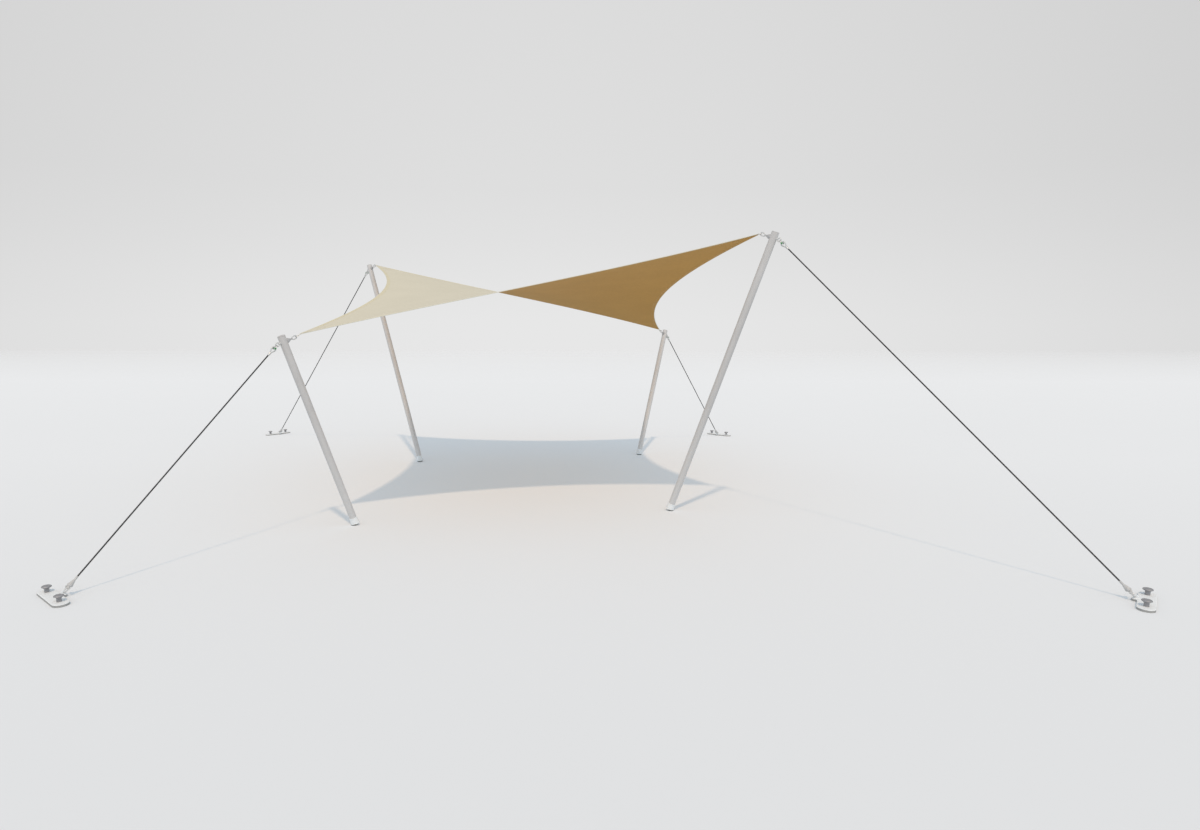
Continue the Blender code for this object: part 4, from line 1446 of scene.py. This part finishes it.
def makePlate(corner):
    anchor = corner["anchorRadius"]
    top = plate["thickness"]
    bevel = arcPoints((plate["bevel"], top - plate["bevel"]), plate["bevel"], 180, 90, 6)
    levels = [(plate["chamfer"], 0.0), (0.0, plate["chamfer"])] + bevel
    body = loftedPart(
        [[(x, y, height) for x, y in plateOutline(anchor, inset)] for inset, height in levels],
        "whiteShell")
    root = head["lugHeight"] - 0.010
    lugOutline = arcPoints((anchor, head["lugHeight"]), plate["lugRadius"], 0, 180, 28)
    lugOutline += [(anchor - plate["lugFront"], root), (anchor - plate["lugFront"], top / 2)]
    lugOutline += [(anchor + plate["lugBack"], top / 2), (anchor + plate["lugBack"], root)]
    lugOutline += arcPoints((anchor + 0.032, head["lugHeight"] + 0.004), 0.014, 250, 180, 8)
    half = plate["lugThickness"] / 2
    lug = loftedPart(
        [[(x, level, z) for x, z in lugOutline] for level in (-half, half)], "whiteShell")
    eye = rodPart(plate["lugHole"], -0.02, 0.02, 40, "whiteShell")
    lug = carved(lug, moved(alongY(eye), x=anchor, z=head["lugHeight"]))
    body = carved(body, lug, "UNION")
    for side in (-1, 1):
        hole = rodPart(pegShape["shaft"] + touchGap, -0.05, 0.05, 56, "whiteShell")
        body = carved(body, moved(hole, x=anchor + plate["reach"], y=side * plate["pegSpread"]))
    body.materials.clear()
    for name in ("whiteShell", "plateRim"):
        body.materials.append(finishes[name])
    for face in body.polygons:
        onSide = abs(face.normal.z) < 0.5 and face.center.z < top - plate["paintedDown"]
        face.material_index = 1 if onSide else 0
    start, end = anchor - 0.014, anchor + plate["lugBack"] - 0.0004
    middle, wide = anchor + 0.004, half + 0.0006
    weld = softened([
        (middle, -wide), (end, -wide), (end, wide), (middle, wide), (start, wide),
        (start, -wide),
    ], 0.003, 4, closed=True)
    path = [(x, y, top + 0.0004) for x, y in weld]
    return joined([body, barPart(path, plate["weldRod"], "whiteShell", closed=True, sides=12)])


pegShape = {"shaft": 0.018, "headRadius": 0.0365, "height": 0.078}


def makePeg():
    top, wide, shaft = pegShape["height"], pegShape["headRadius"], pegShape["shaft"]
    return turnedPart(softened([
        (0, 0), (shaft, 0), (shaft, top - 0.029), (shaft + 0.0028, top - 0.024),
        (wide * 0.80, top - 0.0182), (wide - 0.0005, top - 0.0140), (wide, top - 0.0108),
        (wide * 0.93, top - 0.0062), (wide * 0.78, top - 0.0032), (wide * 0.45, top - 0.0008),
        (0, top),
    ], 0.0030, 4), 64, "forgedSteel")


def makeGroundShackle(corner):
    # The bend rises a little within the lug's thickness, which leaves the crown less room
    spread, half = stay["lowerSpread"], plate["lugThickness"] / 2
    rise = max(
        half * math.tan(math.radians(90 / 48)), spread - math.sqrt(spread**2 - half**2))
    crown = plate["lugHole"] - shackleShape["rod"] - rise - touchGap
    return makeShackle(crown, stay["lowerPin"], spread, -corner["pinSide"], "zinc")


def ownFrame(corner):
    return Matrix.Identity(4)


def placeCopy(mesh, node, placing, slot):
    copy = mesh.copy()
    copy.transform(placing)
    if slot == "corner_webbing":
        mapCloth(copy)
    return settle(pieceName(node), copy, [node])


cornerPieces = [
    ("foot", makeFoot, poleFrame), ("pole", makePole, poleFrame),
    ("pole_cap", makeCap, poleFrame), ("eye_bolt", makeEyeBolt, poleFrame),
    ("corner_ring", makeCornerRing, cornerFrame), ("corner_webbing", makeWebbing, cornerFrame),
    ("stay_shackle", makeStayShackle, stayFrame), ("stay_thimble", makeThimble, stayFrame),
    ("stay_rope", makeRope, stayFrame), ("stay_socket", makeSocket, groundFrame),
    ("ground_shackle", makeGroundShackle, groundFrame), ("ground_plate", makePlate, ownFrame),
]
for piece, make, placing in cornerPieces:
    for kind, corner in corners.items():
        mesh = smoothed(make(corner))
        markPlace(mesh)
        for label, placeKind, turn in cornerPlaces:
            if placeKind == kind:
                placeCopy(
                    mesh, f"{piece}_{label}", spun(turn) @ placing(corner), piece)
    print("made", piece)

pegMesh = smoothed(makePeg())
markPlace(pegMesh)
for label, kind, turn in cornerPlaces:
    reach = corners[kind]["anchorRadius"] + plate["reach"]
    for letter, side in (("a", -1), ("b", 1)):
        place = Matrix.Translation((reach, side * plate["pegSpread"], 0))
        placeCopy(pegMesh, f"peg_{letter}_{label}", spun(turn) @ place, "peg")
print("pegs made")

for label, side in (("Top", 1), ("Under", -1)):
    rows = [row for edge in range(4) for row in hemStitches(edge, side)] + patchStitches(side)
    settle(f"hemStitches{label}", stitchMesh(rows), [])

# Camera, floor and light

view = {
    "place": (-7.084, -6.598, 2.178), "turn": -50.017, "tilt": -7.585, "roll": 0.073,
    "lens": 21.623, "sensor": 36.0, "shiftAcross": 0.03034, "shiftUp": 0.00246,
    "farthest": 600.0,
}


def makeCamera():
    data = bpy.data.cameras.new("camera")
    data.lens = view["lens"]
    data.sensor_width = view["sensor"]
    data.shift_x = view["shiftAcross"]
    data.shift_y = view["shiftUp"]
    data.clip_end = view["farthest"]
    camera = addObject("camera", data)
    camera.location = view["place"]
    aim = spun(view["turn"]) @ Matrix.Rotation(math.radians(90 + view["tilt"]), 4, "X")
    camera.rotation_euler = (aim @ spun(view["roll"])).to_euler()
    bpy.context.scene.camera = camera


# Brightness of the floor by how far ahead it lies, painted into its colour as light falling off
# toward the camera, and of the wall by how high it is seen
studio = {
    "floorReach": 220.0, "lit": 0.79, "albedo": 0.60, "glow": (0.171, 0.193, 0.211),
    "nearEdge": -7.0, "farEdge": 19.0,
    "floorFalloffStops": [(-7.0, 0.745), (-4.6, 0.762), (-3.0, 0.774), (1.6, 0.806), (5.0, 0.808),
                   (8.3, 0.815), (12.0, 0.824), (17.3, 0.832)],
    "fadeStart": 17.0, "fadeEnd": 48.0,
    "wallAhead": [(0.0, (0.80, 0.80, 0.80)), (0.057, (0.78, 0.78, 0.78)),
                  (0.11, (0.755, 0.755, 0.755)), (0.173, (0.733, 0.733, 0.733)),
                  (0.38, (0.715, 0.715, 0.715)), (0.60, (0.53, 0.58, 0.63)),
                  (1.0, (0.54, 0.62, 0.70))],
    "wallBehind": [(0.0, (0.80, 0.82, 0.84)), (0.16, (0.92, 0.98, 1.04)),
                   (0.25, (1.00, 1.11, 1.21)), (0.68, (1.00, 1.11, 1.21)),
                   (0.85, (0.67, 0.77, 0.86)), (1.0, (0.54, 0.62, 0.70))],
    "sideFall": 0.31, "sideMost": 0.09, "wallTurn": 48.0,
    "sunDirection": (0.4847, 0.4072, -1.0), "sunStrength": 1.445, "sunAngle": 2.2,
    "sunColour": (1.0, 0.751, 0.532),
}


def aheadOf(wire, place, degrees):
    # How far a place or a direction lies along the given compass heading
    heading = (math.sin(math.radians(degrees)), math.cos(math.radians(degrees)), 0)
    return wire.node("ShaderNodeVectorMath", {"operation": "DOT_PRODUCT"}, {
        0: place, 1: heading}, "Value")


def makeFloor():
    reach = studio["floorReach"]
    mesh = bpy.data.meshes.new("floor")
    mesh.from_pydata(
        [(-reach, -reach, 0), (reach, -reach, 0), (reach, reach, 0), (-reach, reach, 0)], [],
        [(0, 1, 2, 3)])
    # The floor glows with painted light, a faint bluish glow that stands in for sky light which no
    # shade can block
    material, wire, shader = newFinish("floorPaintAndLight", {
        "Roughness": 0.95, "Specular IOR Level": 0.0, "Emission Strength": 1.0,
        "Emission Color": (*studio["glow"], 1),
    })
    place = wire.node("ShaderNodeTexCoord", output="Object")
    ahead = aheadOf(wire, place, -view["turn"])
    near, far = studio["nearEdge"], studio["farEdge"]
    scale = studio["albedo"] / studio["lit"]
    stops = [
        ((metres - near) / (far - near), (level * scale, level * scale, level * scale, 1))
        for metres, level in studio["floorFalloffStops"]
    ]
    # Painted light: the floor's colour is darker near the camera and lighter ahead
    paint = wire.node("ShaderNodeValToRGB", {"stops": stops}, {
        "Fac": spread(wire, ahead, near, far)})
    tone = noise(wire, place, 0.35, 2.0)
    speck = blendColours(wire, tone, (0.992, 0.992, 0.992), (1.0, 1.0, 1.0))
    painted = wire.node("ShaderNodeMix", {"data_type": "RGBA", "blend_type": "MULTIPLY"}, {
        0: 1.0, 6: paint, 7: speck}, 2)
    plug(painted, shader, "Base Color")
    plug(spread(wire, ahead, studio["fadeStart"], studio["fadeEnd"], 1.0, 0.0), shader, "Alpha")
    mesh.materials.append(material)
    floor = addObject("floor", mesh)


def makeSky():
    world = bpy.data.worlds.new("studio")
    bpy.context.scene.world = world
    world.use_nodes = True
    wire = Wire(world.node_tree)
    direction = wire.node("ShaderNodeTexCoord", output="Generated")
    height = wire.node("ShaderNodeSeparateXYZ", {}, {0: direction}).other(2)
    walls = []
    for part in ("wallAhead", "wallBehind"):
        stops = [(level, (*colour, 1)) for level, colour in studio[part]]
        walls.append(wire.node("ShaderNodeValToRGB", {"stops": stops}, {"Fac": height}))
    ahead = aheadOf(wire, direction, studio["wallTurn"])
    wall = blendColours(wire, spread(wire, ahead, -0.3, 0.3), walls[1], walls[0])
    level = (1.0 - height * height) ** 0.5
    fall = wire.sum("MINIMUM", (level - ahead) * studio["sideFall"], studio["sideMost"])
    grey = wire.node("ShaderNodeCombineXYZ", {}, {0: fall, 1: fall, 2: fall})
    wall = wire.node("ShaderNodeVectorMath", {"operation": "SUBTRACT"}, {0: wall, 1: grey})
    background = world.node_tree.nodes["Background"]
    plug(wall, background, "Color")
    background.inputs["Strength"].default_value = 1.0


def makeSun():
    lamp = bpy.data.lights.new("sun", "SUN")
    lamp.energy = studio["sunStrength"]
    lamp.angle = math.radians(studio["sunAngle"])
    lamp.color = studio["sunColour"]
    sun = addObject("sun", lamp)
    sun.rotation_euler = Vector(studio["sunDirection"]).to_track_quat("-Z", "Y").to_euler()


makeCamera()
makeFloor()
makeSky()
makeSun()
bpy.context.scene.view_settings.view_transform = "Standard"
print("camera, floor and light made")
